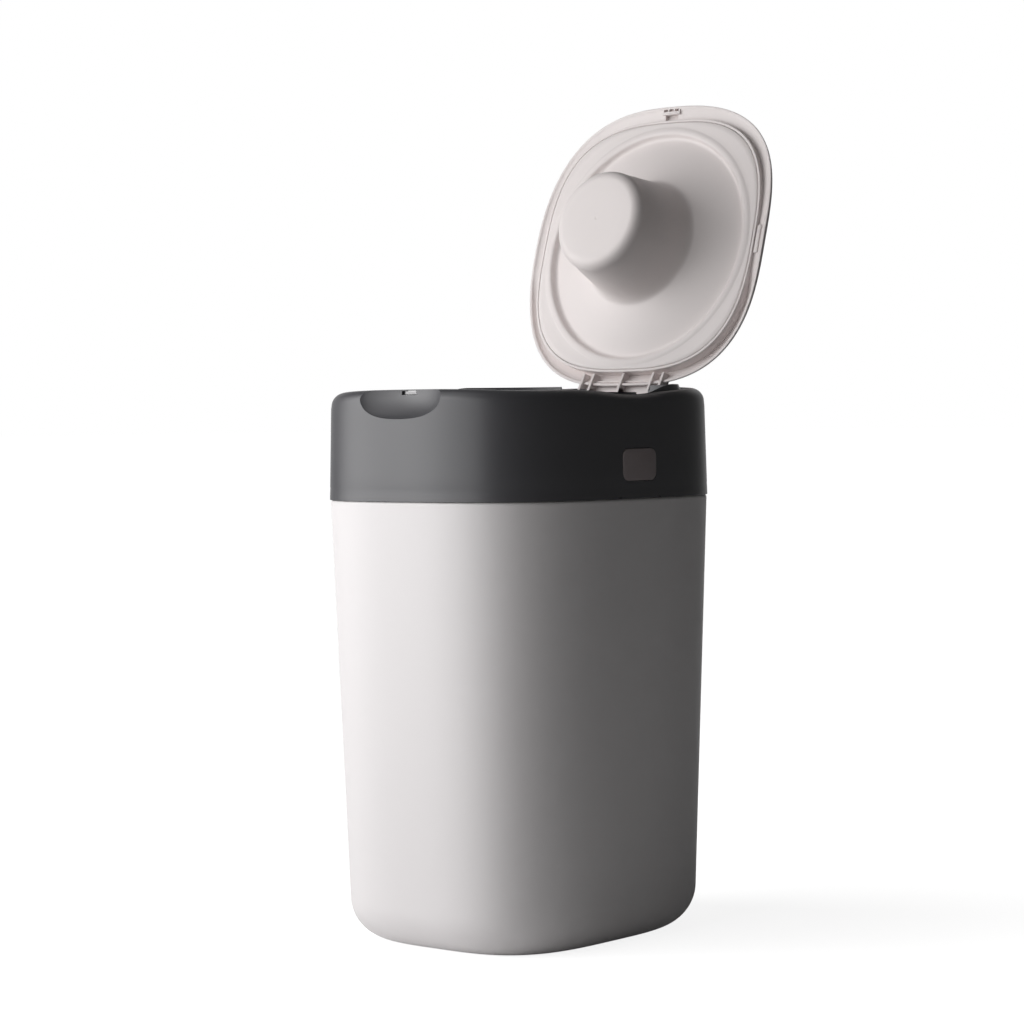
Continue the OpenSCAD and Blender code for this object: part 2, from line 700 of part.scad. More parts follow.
module latch_bar() color([0.8, 0.8, 0.8]) {
    difference() {
        union() {
            box([plate_x, -guide_y + slot_play, base_z + base_t + gap],
                [plate_x + plate_t, guide_y - slot_play, button_z + 9]);
            box([plate_x, -leg_w / 2, leg_low], [plate_x + plate_t, leg_w / 2, button_z]);
            box([plate_x + plate_t - eps, -leg_w / 2, leg_low],
                [plate_x + plate_t + nose_out, leg_w / 2, leg_low + nose_h]);
        }
        rod_x(1.6, plate_x - 1, plate_x + plate_t + 1, 0, button_z - 10);
    }
}

module button_spring() color("silver") {
    translate([rest_wall_x + 2, 0, button_z]) rotate([0, 90, 0])
        coil(spring_r, 0.5, plate_x - rest_wall_x - 2, 5);
}

// ---------- lid catch ----------

module lid_catch() color([0.85, 0.85, 0.84]) {
    x0 = catch_x - catch_w / 2;
    x1 = catch_x + catch_w / 2;
    box([x0, scoop_back - 0.5, catch_top - catch_bar_h], [x1, catch_leg_y + eps, catch_top]);
    box([x0, catch_leg_y, catch_z], [x1, catch_leg_y + catch_t, catch_top]);
    box([x0, catch_leg_y, catch_z], [x1, hook_y + hook_t, catch_z + 1.8]);
    box([x0, hook_y, deck_under - catch_leg], [x1, hook_y + hook_t, rim_z + 3.4]);
    box([x0, hook_y - 1.4, rim_z + 1.8], [x1, hook_y + eps, rim_z + 3.4]);
}

module catch_spring() color("silver") {
    translate([catch_x, hook_y + hook_t, deck_under - catch_leg + 3.4]) rotate([-90, 0, 0])
        coil(2.6, 0.4, catch_spring_l, 5);
}

// ---------- twist ring, cassette ----------

module twist_ring() color([0.22, 0.22, 0.23]) {
    low = bowl_floor_z + bowl_t;
    tube(bowl_r, bowl_r - bowl_t, low, collar_top - low);
    tube(collar_r, bowl_r - bowl_t, deck_z + gap, collar_top - deck_z - gap);
    ratchet();
    // grips round the inside of the collar
    intersection() {
        translate([0, 0, collar_top - 13.6]) cylinder(r = bowl_r - bowl_t / 2, h = 12, $fn = 96);
        for (i = [0:5]) rotate(60 * i + 12)
            translate([bowl_r - bowl_t, 0, collar_top - 13.6]) cylinder(r = 3.5, h = 12, $fn = 32);
    }
}

module ring_floor() color([0.22, 0.22, 0.23]) {
    tube(bowl_r, throat_r, bowl_floor_z, bowl_t);
    tube(throat_r + neck_t, throat_r, base_z + 1, bowl_floor_z - base_z);
}

// Saw-toothed band round the bowl
module ratchet() {
    pitch = 360 / teeth;
    difference() {
        translate([0, 0, tooth_z]) linear_extrude(tooth_t)
            polygon([for (i = [0:teeth - 1], k = [0, 1])
                let (a = pitch * (i + k * 0.94), r = bowl_r + (k == 0 ? 0.2 : tooth_h))
                [r * cos(a), r * sin(a)]]);
        translate([0, 0, tooth_z - 1]) cylinder(r = bowl_r - bowl_t / 2, h = tooth_t + 2, $fn = 96);
    }
}

module cassette_body() color([0.9, 0.9, 0.9]) {
    tube(cas_out, cas_out - cas_t, cas_z + cas_t, cassette_h - cas_t);
}

module cassette_floor() color([0.9, 0.9, 0.9]) {
    tube(cas_out, cas_in, cas_z, cas_t);
}

module cassette_core() color([0.9, 0.9, 0.9]) {
    tube(cas_in + cas_t, cas_in, cas_z + cas_t, cassette_h + 3 - cas_t);
}

module cassette_cover() color([0.85, 0.87, 0.9]) {
    tube(cas_out, cas_in + cas_t + 4, cas_z + cassette_h, 2);
    tube(cas_out - cas_t - 0.2, cas_out - 2 * cas_t - 0.2, cas_z + cassette_h - 5, 5 + eps);
}

module film_pack() color([0.75, 0.85, 0.95]) {
    r0 = cas_in + cas_t + 1;
    r1 = cas_out - cas_t - 3.2;
    z0 = cas_z + cas_t;
    h = cassette_h - 8;
    pleats = 9;
    pleat = 1.6;
    translate([0, 0, z0]) rotate_extrude($fn = 96) polygon(concat([[r0, 0]],
        [for (i = [0:pleats - 1], k = [0, 1]) [r1 - pleat * (1 - k), h * (i + k * 0.5) / pleats]],
        [[r1 - pleat, h], [r0, h]]));
}

// ---------- click pawl ----------

function tip_r() = bowl_r + tooth_h + gap;

module click_pawl() color([0.85, 0.85, 0.84]) {
    z0 = tooth_z;
    rotate(pawl_a) difference() {
        union() {
            translate([pawl_post_r, 0, z0]) cylinder(r = 3.6, h = tooth_t, $fn = 40);
            translate([0, 0, z0]) linear_extrude(tooth_t) polygon([[pawl_post_r - 2, -3.2],
                [pawl_post_r + 2.4, 2], [tip_r() + 4, 14.5], [tip_r() + 0.6, 14]]);
        }
        translate([pawl_post_r, 0, z0 - 1]) cylinder(r = pawl_pin_r + run, h = tooth_t + 2, $fn = 40);
    }
}

module pawl_pin() color("silver") {
    translate(polar(pawl_post_r, pawl_a, tooth_z - gap))
        cylinder(r = pawl_pin_r, h = deck_under - tooth_z - 1, $fn = 40);
    translate(polar(pawl_post_r, pawl_a, tooth_z - gap - 1.4)) cylinder(r = 3, h = 1.4 + eps, $fn = 40);
}

module pawl_spring() color("silver") {
    leaf_r = pawl_post_r + 4.4;
    leaf_t = 0.6;
    rotate(pawl_a) translate([0, 0, tooth_z + 2]) linear_extrude(4)
        polygon([[leaf_r, 1.6], [leaf_r + leaf_t, 1.6], [tip_r() + 5, 15.6],
            [tip_r() + 5 - leaf_t, 15.6]]);
    rotate(pawl_a) box([leaf_r, -2, tooth_z + 2], [leaf_r + leaf_t, 1.6 + eps, deck_under]);
}

// ---------- cutter ----------

module cutter_rail() color([0.33, 0.33, 0.34]) {
    z0 = base_z - rail_h;
    difference() {
        box([-rail_len / 2, rail_y - rail_w / 2, z0], [rail_len / 2, rail_y + rail_w / 2, base_z]);
        box([-rail_len / 2 + 4, rail_y - rail_w / 2 + rail_wall, z0 + rail_wall],
            [rail_len / 2 - 4, rail_y + rail_w / 2 - rail_wall, base_z - 2]);
        box([-rail_len / 2 + 4, rail_y - 5, z0 - 1], [rail_len / 2 - 4, rail_y + 5, z0 + rail_wall + 1]);
    }
}

module rail_screws() color("silver") {
    for (s = [-1, 1]) {
        translate([s * (rail_len / 2 - 2), rail_y, base_z - rail_h - 1.4])
            cylinder(r = 1.9, h = 1.4, $fn = 32);
    }
}

module cutter_slider() color([0.85, 0.5, 0.2]) {
    z0 = base_z - rail_h + rail_wall + gap;
    half = rail_w / 2 - rail_wall - gap;
    box([-slider_len / 2, rail_y - half, z0], [slider_len / 2, rail_y + half, base_z - 2 - gap]);
    box([-slider_len / 2 + 4, rail_y - 5 + gap, base_z - rail_h - 6],
        [slider_len / 2 - 4, rail_y + 5 - gap, z0 + eps]);
}

module cutter_blade() color("silver") {
    z0 = base_z - rail_h - 14;
    translate([0, rail_y + 0.4, z0]) rotate([90, 0, 0]) linear_extrude(0.8)
        polygon([[-8, 8], [8, 8], [5, 0], [-4, 3]]);
}

// ---------- lid ----------

// Ring of the lid's outline, less an inset
function lid_ring(inset, z, wave) = [for (i = [0:steps - 1])
    let (a = angle(i), r = super_r(a, lid_half_x - inset, lid_half_y - inset, lid_n))
    [r * cos(a), r * sin(a) - lid_shift, z + wave * corner(a)]];
function panel_ring(grow, z) = [for (i = [0:steps - 1])
    let (a = angle(i), r = super_r(a, panel_half + grow, panel_half + grow, panel_n))
    [r * cos(a), r * sin(a) - lid_shift * 0.7, z]];
// Height of the shell's inner face above the lid's lower edge, at an inset
function inner_rise(inset) = (lid_round_h - lid_wall)
    * sqrt(1 - pow(1 - min(1, max(0, (inset - lid_wall) / (lid_round_w - lid_wall))), 2));
// Ring where the wall round the panel meets the inside of the dish
function dish_ring(grow) = [for (i = [0:steps - 1])
    let (a = angle(i), r = super_r(a, panel_half + grow, panel_half + grow, panel_n))
    [r * cos(a), r * sin(a) - lid_shift * 0.7, rim_z + inner_rise(lid_r(a) - r)]];
// Bottom of the channel outside that wall, shallow in front and deep over the rib behind
function channel_z(a, rise) = let (edge = lid_wave * corner(a))
    rim_z + edge + (channel_front + (1 - channel_front) * to_back(a)) * (rise - edge);
function channel_wall_ring() = [for (p = dish_ring(wall_t))
    [p.x, p.y, channel_z(atan2(p.y, p.x), p.z - rim_z)]];
function channel_ring(inset) = [for (i = [0:steps - 1])
    let (a = angle(i), r = super_r(a, lid_half_x - inset, lid_half_y - inset, lid_n))
    [r * cos(a), r * sin(a) - lid_shift, channel_z(a, inner_rise(inset) + lid_wave * corner(a) / 2)]];
function inner_in(i) = lid_wall + (lid_round_w - lid_wall) * (1 - cos(90 * i / 8));

module lid_dish() {
    top = rim_z + lid_round_h;
    flat_in = lid_half_x / 2;
    loft(concat(
        [lid_ring(flat_in, top + crown - lid_wall, 0), lid_ring(lid_round_w, top - lid_wall, 0),
         lid_ring(inner_in(6), rim_z + inner_rise(inner_in(6)), 0),
         dish_ring(0), panel_ring(0, panel_z), panel_ring(wall_t, panel_z), channel_wall_ring(),
         channel_ring(inner_in(2)),
         lid_ring(lid_wall, rim_z, lid_wave)],
        [for (i = [0:arc_steps]) let (t = 90 * i / arc_steps)
            lid_ring(lid_round_w * (1 - cos(t)), rim_z + lid_round_h * sin(t), lid_wave * (1 - sin(t)))],
        [lid_ring(flat_in, top + crown, 0)]));
}

// Solid of revolution about the lid's axis, heights from the ring plane
module about_lid(section) {
    translate([0, 0, ring_z]) rotate_extrude($fn = 128) polygon(section);
}

// Flat border inside the lid, with the ring bead
module lid_panel() color([0.92, 0.9, 0.89]) on_open_lid() {
    edge = bead_r + bead_w - 0.4;
    difference() {
        translate([0, 0, panel_z]) linear_extrude(panel_skin + 0.5)
            polygon([for (p = panel_ring(-0.35, 0)) [p.x, p.y]]);
        translate([0, 0, panel_z - 1]) cylinder(r = edge - 1, h = 10, $fn = 96);
    }
    about_lid([[edge, -0.8], [edge, -1], [edge - 1.6, -1.6], [bead_r + 1, -1.6], [bead_r - 0.4, -0.4],
        [dish_r, recess_up - 1], [dish_r, recess_up + panel_skin],
        [bead_r + 0.4, recess_up + panel_skin], [bead_r + 1.6, 0.8], [edge, 1.7]]);
}

// Recess inside the bead and the shallow cone down to the plunger
module panel_dish() color([0.92, 0.9, 0.89]) on_open_lid() {
    about_lid([[dish_r, recess_up - 1], [bead_r - 3.6, recess_up],
        [crease_r + 1, -crease_h + 0.3], [crease_r, -crease_h], [crease_r, -crease_h + panel_skin],
        [bead_r - 3.6, recess_up + panel_skin], [dish_r, recess_up + panel_skin]]);
}

module plunger() color([0.92, 0.9, 0.89]) on_open_lid() {
    about_lid(concat(
        [[crease_r, -crease_h], [crease_r - 2, -crease_h - 1.8], [crease_r - 3.4, -crease_h - 4.4],
         [plunger_root_r - 0.4, -crease_h - 9]],
        [for (i = [0:6]) let (t = 90 * i / 6)
            [plunger_tip_r - plunger_round * (1 - cos(t)), -plunger_h + plunger_round * (1 - sin(t))]],
        [[0, -plunger_h], [0, -plunger_h + panel_skin],
         [plunger_tip_r - plunger_round, -plunger_h + panel_skin],
         [plunger_tip_r - panel_skin, -plunger_h + plunger_round],
         [plunger_root_r - panel_skin - 0.6, -crease_h - 8], [crease_r - 5, -crease_h - 3],
         [crease_r - 3, -crease_h + 0.4], [crease_r, -crease_h + panel_skin]]));
}

module arm_plate(x) {
    translate([x, 0, 0]) rotate([90, 0, 90]) linear_extrude(arm_t)
        polygon([[hinge_y, hinge_z - hinge_eye_r],
            [hinge_y + hinge_eye_r * 0.7, hinge_z + hinge_eye_r * 0.7],
            [hinge_y, hinge_z + flap_r], [arm_root_y + 4.4, rim_z + 9.4],
            [arm_root_y, rim_z + 8], [arm_root_y, panel_z + 1.5]]);
    rod_x(hinge_eye_r, x, x + arm_t, hinge_y, hinge_z);
}

// Flap that carries the lid's shell on over the hinge
function arc_point(r, a) = [hinge_y + r * cos(a), hinge_z + r * sin(a)];
module hinge_flap() {
    translate([-arm_out_x, 0, 0]) rotate([90, 0, 90]) linear_extrude(2 * arm_out_x)
        polygon(concat(
            [[arm_root_y + 3, rim_z + 7.4], [arm_root_y + 3, rim_z + 9.2]],
            [for (a = [105:-10:65]) arc_point(flap_r, a)],
            [for (a = [65:10:105]) arc_point(flap_r - 1.7, a)]));
}

// Ribs, eyes, flap and cross bar of the lid's hinge
module hinge_arms() {
    difference() {
        union() {
            for (s = [-1, 1], k = [0, 1])
                arm_plate(s * (arm_in_x + k * (arm_gap + arm_t)) - (s < 0 ? arm_t : 0));
            arm_plate(-arm_t / 2);
            hinge_flap();
            box([-arm_out_x, arm_root_y + 6, rim_z + 3.4], [arm_out_x, arm_root_y + 7.2, rim_z + 8.6]);
        }
        for (s = [-1, 1]) {
            x0 = s > 0 ? arm_in_x - 1 : -(arm_out_x + 1);
            rod_x(hinge_pin_r + snug, x0, x0 + arm_gap + 2 * arm_t + 2, hinge_y, hinge_z);
        }
    }
}

module lid_shell() color([0.93, 0.91, 0.9]) on_open_lid() {
    difference() {
        union() {
            difference() {
                lid_dish();
                // room for the hook of the catch
                box([catch_x - latch_w / 2 + 1, hook_y - 3, rim_z - 1],
                    [catch_x + latch_w / 2 - 1, hook_y + hook_t + catch_travel, rim_z + 7]);
            }
            latch_tab();
        }
        latch_cells();
    }
    hinge_arms();
}

module lid_hinge_pins() color("silver") on_open_lid() {
    for (s = [-1, 1]) {
        x0 = s > 0 ? arm_in_x : -arm_out_x;
        rod_x(hinge_pin_r, x0, x0 + arm_gap + 2 * arm_t, hinge_y, hinge_z);
    }
}

// Tab behind the lid's front edge, with the lip that the catch holds
module latch_tab() {
    x0 = catch_x - latch_w / 2;
    x1 = catch_x + latch_w / 2;
    box([x0, latch_y - 2.6, rim_z + 0.2], [x1, latch_y + 1.6, rim_z + latch_block]);
    box([x0, latch_y + 1.6 - eps, rim_z + 0.2], [x1, latch_y + 3.2, rim_z + 1.5]);
}

// Three cells in the tab
module latch_cells() {
    cell_w = (latch_w - 2.4) / 3.6;
    for (i = [0:2]) {
        x = catch_x - latch_w / 2 + 1.2 + i * cell_w * 1.3;
        box([x, latch_y - 1.7, rim_z], [x + cell_w, latch_y + 0.6, rim_z + latch_block - 0.2]);
    }
}

tub();
tub_pads();
latch_keeper();
keeper_screws();
tilt_hinge_pin();
head_casing();
head_deck();
deck_skirt();
hinge_lugs();
deck_seal();
head_base();
neck_guide();
deck_posts();
bar_guides();
base_screws();
release_button();
latch_bar();
button_spring();
lid_catch();
catch_stop();
catch_spring();
twist_ring();
ring_floor();
cassette_body();
cassette_floor();
cassette_core();
cassette_cover();
film_pack();
click_pawl();
pawl_post();
pawl_pin();
pawl_spring();
cutter_rail();
cutter_slider();
cutter_blade();
rail_screws();
lid_shell();
lid_panel();
panel_dish();
plunger();
lid_hinge_pins();
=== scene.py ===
import bpy
import bmesh
import math
from mathutils import Matrix, Vector


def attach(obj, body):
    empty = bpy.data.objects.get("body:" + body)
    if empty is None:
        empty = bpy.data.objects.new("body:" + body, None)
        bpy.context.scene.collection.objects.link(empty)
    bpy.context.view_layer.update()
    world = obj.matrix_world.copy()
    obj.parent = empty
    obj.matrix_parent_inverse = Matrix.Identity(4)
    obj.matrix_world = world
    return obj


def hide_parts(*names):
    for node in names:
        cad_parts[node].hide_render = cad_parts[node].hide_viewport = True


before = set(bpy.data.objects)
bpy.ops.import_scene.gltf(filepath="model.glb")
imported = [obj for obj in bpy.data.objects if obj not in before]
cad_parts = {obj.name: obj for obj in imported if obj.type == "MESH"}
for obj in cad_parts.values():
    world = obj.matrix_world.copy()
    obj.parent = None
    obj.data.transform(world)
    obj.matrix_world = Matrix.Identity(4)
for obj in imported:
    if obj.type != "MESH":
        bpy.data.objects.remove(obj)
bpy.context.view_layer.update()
scene = bpy.context.scene
MM = 0.001

# ---------- sizes in millimetres, the same as the part's ----------
TUB_Y, TUB_X, SEAM_Z, DRAFT = 142.0, 117.4, 338.3, 0.0388
PLAN_N, BASE_N = 3.28, 3.4
FOOT_W, FOOT_H, TUB_WALL, TUB_FLOOR = 30.0, 31.6, 2.6, 3.4
SHOULDER_Z, SPIGOT_Z, SPIGOT_T = 340.0, 345.0, 1.8
HEAD_Z, CREST_Z = 340.3, 424.3
HEAD_X, HEAD_Y, HEAD_DRAFT, HEAD_WALL = 118.0, 142.6, 0.022, 2.6
CREST_W, CREST_H, CREST_GROW = 7.0, 8.0, 2.5
DIP_SIDE, DIP_FRONT, BACK_RISE, CORNER_DROP = 5.6, 0.3, 1.8, 2.2
DECK_Z = 416.4
SIDE_Z = CREST_Z - 4.6
RIB_W, RIB_TOP, POCKET_SLOPE = 3.4, CREST_Z + 2.5, 2.5
RING_Z, RIM_Z = SIDE_Z + 0.9, SIDE_Z + 0.6
LID_X, LID_Y, LID_N, LID_SHIFT = 118.0, 121.2, 2.78, 1.1
LID_W, LID_H, LID_WALL, LID_WAVE, CROWN = 25.0, 14.0, 2.3, 3.4, 0.8
PANEL, PANEL_N, WALL_T, PANEL_SHIFT = 107.1, 2.9, 2.0, LID_SHIFT * 0.7
PANEL_Z = RING_Z - 0.8
HINGE_Y, HINGE_Z, LID_OPEN = LID_Y - LID_SHIFT + 6.1, RIM_Z + 0.7, 107.2
SCOOP_HALF, SCOOP_H, SCOOP_BACK = 43.5, 22.8, -127.5
SCOOP_N, SCOOP_PLAN_N, SCOOP_SIDE_N, SCOOP_WALL = 2.5, 1.7, 1.5, 2.4
BUTTON_Z, BUTTON_W, BUTTON_H, BUTTON_R, BUTTON_GAP = 365.8, 40.4, 24.2, 6.0, 0.4
CATCH_X, CATCH_W, CATCH_TOP, HOOK_Y = 1.3, 11.0, CREST_Z - 1.7, -114.9
TILT_X, TILT_Z, TILT_R = -121.8, 340.15, 3.4
TUB_KNUCKLES = ((-34, -16), (16, 34))
HEAD_KNUCKLES = ((-46, -34.4), (-15.6, 15.6), (34.4, 46))
NICK_Y, NICK_HALF = 24.24, 1.2
ARM_X, ARM_T, ARM_GAP = 29.5, 2.4, 7.7
ARM_END, ARM_ROOT = ARM_X + ARM_GAP + 2 * ARM_T, PANEL + WALL_T - 0.4
EYE_R, FLAP_R, FLAP_T = 4.1, 6.3, 1.7
PLUNGER_H, TIP_R, TIP_ROUND, PANEL_EDGE = 68.3, 42.3, 9.0, 103.0

# ---------- forms that the scene draws finer than the part, or alone ----------
# tab that the catch holds: three cells, with walls of 0.3 of a cell between them
LATCH_HALF, LATCH_Y, LATCH_TOP, LATCH_CELL, LATCH_EDGE = 9, HOOK_Y - 3.6, 3.6, 15.6 / 3.6, 1.2
# channel inside the lid's edge: the share of its depth that the front has, the inset where
# the corner wave has fallen to half, and the widths over which it falls outside and inside that
CHANNEL_FRONT, WAVE_HALF, WAVE_OUT, WAVE_IN = 0.3, 4.03, 3.46, 4.9
# small block inside the lid's right edge
CLIP_LO, CLIP_HI = (109.6, -13, RIM_Z + 0.5), (113.2, 10.5, RIM_Z + 6)
# shallow step of the head's wall, as (height, inset), where the skirt over the tub's spigot ends
HEAD_STEP = ((346, 0.02), (349.6, 0.12), (350.4, 0))
# cross section of the rib inside the lid's seat, as shares of its width and height
RIB_SHAPE = ((1, 0), (0.62, 0.84), (0.57, 0.97), (0.5, 1), (0.3, 1), (0.23, 0.97), (0.18, 0.84), (0, 0))
# lid panel from its bead inwards, as (radius, depth below the ring plane): bead, recess, shallow cone
PANEL_PROFILE = [
    (PANEL_EDGE + 0.9, 0.82), (PANEL_EDGE + 0.2, 0.95), (102.4, 1.25), (101.4, 1.52), (100.2, 1.62),
    (99.0, 1.6), (98.0, 1.4), (97.2, 0.9), (96.8, 0.2), (96.4, -0.8), (95.9, -1.9), (95.1, -2.65),
    (94.0, -2.98), (93.0, -2.9), (91.6, -2.5), (84, -0.2), (76, 2.24), (68, 4.68), (60, 7.1),
    (56.6, 8.1), (55.2, 8.5), (54.3, 8.85), (53.4, 9.4), (52.5, 10.3), (51.6, 11.7), (50.8, 13.6),
    (50.1, 15.8), (49.6, 18.0), (48.4, 25), (46.6, 35), (44.9, 45)]
# edges sharper than this many degrees stay sharp in the shading: pieces, bodies, lid panel
SHARP, SHARP_BODY, SHARP_PANEL = 32, 40, 50


# ---------- geometry helpers ----------
def super_r(a, rx, ry, n):
    return (abs(math.cos(a) / rx) ** n + abs(math.sin(a) / ry) ** n) ** (-1 / n)


def corner(a):
    """One at the corners of the plan, nothing at the middle of its sides."""
    return math.sin(2 * a) ** 2


def angles(count):
    return [2 * math.pi * i / count for i in range(count)]


def polar(r, a, z):
    return (r * math.cos(a), r * math.sin(a), z)


def arc(cx, cy, r, a0, a1, steps):
    return [(cx + r * math.cos(math.radians(a0 + (a1 - a0) * i / steps)),
             cy + r * math.sin(math.radians(a0 + (a1 - a0) * i / steps))) for i in range(steps + 1)]


def mesh_piece(name, verts, faces, sharp=SHARP):
    """Object from points in millimetres, smooth except at edges sharper than the given angle."""
    mesh = bpy.data.meshes.new(name)
    mesh.from_pydata([(x * MM, y * MM, z * MM) for x, y, z in verts], [], faces)
    mesh.validate()
    piece = bpy.data.objects.new(name, mesh)
    scene.collection.objects.link(piece)
    bm = bmesh.new()
    bm.from_mesh(mesh)
    bmesh.ops.recalc_face_normals(bm, faces=bm.faces)
    bm.to_mesh(mesh)
    bm.free()
    smooth(piece, sharp)
    return piece


def smooth(piece, sharp=SHARP):
    mesh = piece.data
    mesh.shade_smooth()
    mesh.set_sharp_from_angle(angle=math.radians(sharp))


def loft_faces(count, rings, closed=False, caps=True):
    """Faces between rings of as many points each; closed joins the last ring to the first."""
    faces = []
    spans = rings if closed else rings - 1
    for j in range(spans):
        lo, hi = j * count, ((j + 1) % rings) * count
        for i in range(count):
            k = (i + 1) % count
            faces.append((lo + i, lo + k, hi + k, hi + i))
    if caps and not closed:
        faces.append(tuple(reversed(range(count))))
        faces.append(tuple((rings - 1) * count + i for i in range(count)))
    return faces


def loft(name, rings, closed=False, sharp=SHARP):
    verts = [p for ring in rings for p in ring]
    return mesh_piece(name, verts, loft_faces(len(rings[0]), len(rings), closed), sharp)


def block(name, lo, hi, bevel=0.0):
    """Box between two corners, with its edges rounded if bevel is given."""
    verts = [(x, y, z) for x in (lo[0], hi[0]) for y in (lo[1], hi[1]) for z in (lo[2], hi[2])]
    faces = [(0, 1, 3, 2), (4, 6, 7, 5), (0, 4, 5, 1), (2, 3, 7, 6), (0, 2, 6, 4), (1, 5, 7, 3)]
    piece = mesh_piece(name, verts, faces)
    if bevel:
        round_edges(piece, bevel)
    return piece


def round_edges(piece, width, segments=3, angle=30):
    mod = piece.modifiers.new("edge", "BEVEL")
    mod.width = width * MM
    mod.segments = segments
    mod.limit_method = "ANGLE"
    mod.angle_limit = math.radians(angle)
    apply_modifiers(piece)
    smooth(piece)


def apply_modifiers(piece):
    depsgraph = bpy.context.evaluated_depsgraph_get()
    depsgraph.update()
    mesh = bpy.data.meshes.new_from_object(piece.evaluated_get(depsgraph))
    piece.modifiers.clear()
    piece.data = mesh


def rod(name, axis, r, lo, hi, u, v, count=48):
    """Cylinder along X or Y between lo and hi, with its axis at (u, v) in the other two."""
    ends = []
    for w in (lo, hi):
        ring = []
        for a in angles(count):
            c, s = u + r * math.cos(a), v + r * math.sin(a)
            ring.append((w, c, s) if axis == "x" else (c, w, s))
        ends.append(ring)
    return loft(name, ends)


def boolean(piece, cutter, operation="DIFFERENCE"):
    mod = piece.modifiers.new("cut", "BOOLEAN")
    mod.operation = operation
    mod.solver = "EXACT"
    mod.object = cutter
    apply_modifiers(piece)
    bpy.data.objects.remove(cutter)


def join(piece, others):
    """Adds other meshes to a piece as they are."""
    bm = bmesh.new()
    bm.from_mesh(piece.data)
    for other in others:
        bm.from_mesh(other.data)
        bpy.data.objects.remove(other)
    bm.to_mesh(piece.data)
    bm.free()
    smooth(piece)


def extrude(name, outline, place, depth, bevel=0.0):
    """Prism over a flat outline of (u, v); place turns (u, v, w) into a point."""
    rings = [[place(u, v, w) for u, v in outline] for w in (0.0, depth)]
    piece = loft(name, rings)
    if bevel:
        round_edges(piece, bevel)
    return piece


LID_TURN = (Matrix.Translation((0, HINGE_Y * MM, HINGE_Z * MM))
            @ Matrix.Rotation(math.radians(-LID_OPEN), 4, "X")
            @ Matrix.Translation((0, -HINGE_Y * MM, -HINGE_Z * MM)))


def open_lid(piece):
    """Turns a piece drawn with the lid closed to where it is at rest."""
    piece.data.transform(LID_TURN)
    return piece


# ---------- materials ----------
GRAIN_SCALE, GRAIN_DEPTH = 2200.0, 0.00012
PATCH_SCALE, PATCH_ROUGHNESS = 14, 0.03


def plastic(name, colour, roughness, grain=0.0, specular=0.5):
    """Moulded plastic: one colour, a fine grain in the bump and a little unevenness in the roughness."""
    mat = bpy.data.materials.new(name)
    mat.use_nodes = True
    tree = mat.node_tree
    shader = tree.nodes["Principled BSDF"]
    shader.inputs["Base Color"].default_value = (*colour, 1)
    shader.inputs["Roughness"].default_value = roughness
    shader.inputs["Specular IOR Level"].default_value = specular
    if grain:
        coords = tree.nodes.new("ShaderNodeTexCoord")
        noise = tree.nodes.new("ShaderNodeTexNoise")
        noise.inputs["Scale"].default_value = GRAIN_SCALE
        noise.inputs["Detail"].default_value = 2
        tree.links.new(coords.outputs["Object"], noise.inputs["Vector"])
        bump = tree.nodes.new("ShaderNodeBump")
        bump.inputs["Strength"].default_value = grain
        bump.inputs["Distance"].default_value = GRAIN_DEPTH
        tree.links.new(noise.outputs["Fac"], bump.inputs["Height"])
        tree.links.new(bump.outputs["Normal"], shader.inputs["Normal"])
        uneven = tree.nodes.new("ShaderNodeTexNoise")
        uneven.inputs["Scale"].default_value = PATCH_SCALE
        uneven.inputs["Detail"].default_value = 4
        tree.links.new(coords.outputs["Object"], uneven.inputs["Vector"])
        level = tree.nodes.new("ShaderNodeMapRange")
        level.inputs["To Min"].default_value = roughness - PATCH_ROUGHNESS
        level.inputs["To Max"].default_value = roughness + PATCH_ROUGHNESS
        tree.links.new(uneven.outputs["Fac"], level.inputs["Value"])
        tree.links.new(level.outputs["Result"], shader.inputs["Roughness"])
    return mat


def metal(name, colour, roughness):
    mat = plastic(name, colour, roughness)
    mat.node_tree.nodes["Principled BSDF"].inputs["Metallic"].default_value = 1
    return mat


MAT = {
    "tub": plastic("tub_plastic", (0.865, 0.835, 0.837), 0.5, 0.12),
    "lid": plastic("lid_plastic", (0.86, 0.80, 0.788), 0.45, 0.08),
    "head": plastic("head_plastic", (0.066, 0.065, 0.072), 0.42, 0.2, specular=0.85),
    "button": plastic("button_plastic", (0.36, 0.31, 0.315), 0.5, 0.15),
    "ring": plastic("ring_plastic", (0.07, 0.07, 0.075), 0.4, 0.1),
    "inner": plastic("inner_plastic", (0.5, 0.49, 0.5), 0.45, 0.1),
    "cassette": plastic("cassette_plastic", (0.80, 0.82, 0.84), 0.3),
    "film": plastic("film_plastic", (0.62, 0.74, 0.86), 0.25),
    "slider": plastic("slider_plastic", (0.75, 0.36, 0.08), 0.45, 0.1),
    "foot": plastic("foot_rubber", (0.05, 0.05, 0.05), 0.8, 0.3),
    "seal": plastic("seal_rubber", (0.03, 0.03, 0.03), 0.75, 0.2),
    "steel": metal("bare_steel", (0.62, 0.62, 0.63), 0.3),
}


def dress(piece, mat):
    piece.data.materials.clear()
    piece.data.materials.append(MAT[mat])


def finish_piece(piece, mat, body, slot, *nodes):
    """Gives a piece its material and body, and hides the CAD nodes whose place it takes; slot is not used."""
    dress(piece, mat)
    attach(piece, body)
    if nodes:
        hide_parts(*nodes)
    return piece


# ---------- tub ----------
def tub_ring(inset, z, wall=0.0, count=240):
    """Ring of the tub's outer form less a wall: inset shrinks the depth, and the width in proportion."""
    hy = TUB_Y - inset
    hx = hy * TUB_X / TUB_Y
    n = BASE_N + (PLAN_N - BASE_N) * z / SEAM_Z
    return [polar(super_r(a, hx - wall, hy - wall, n), a, z) for a in angles(count)]


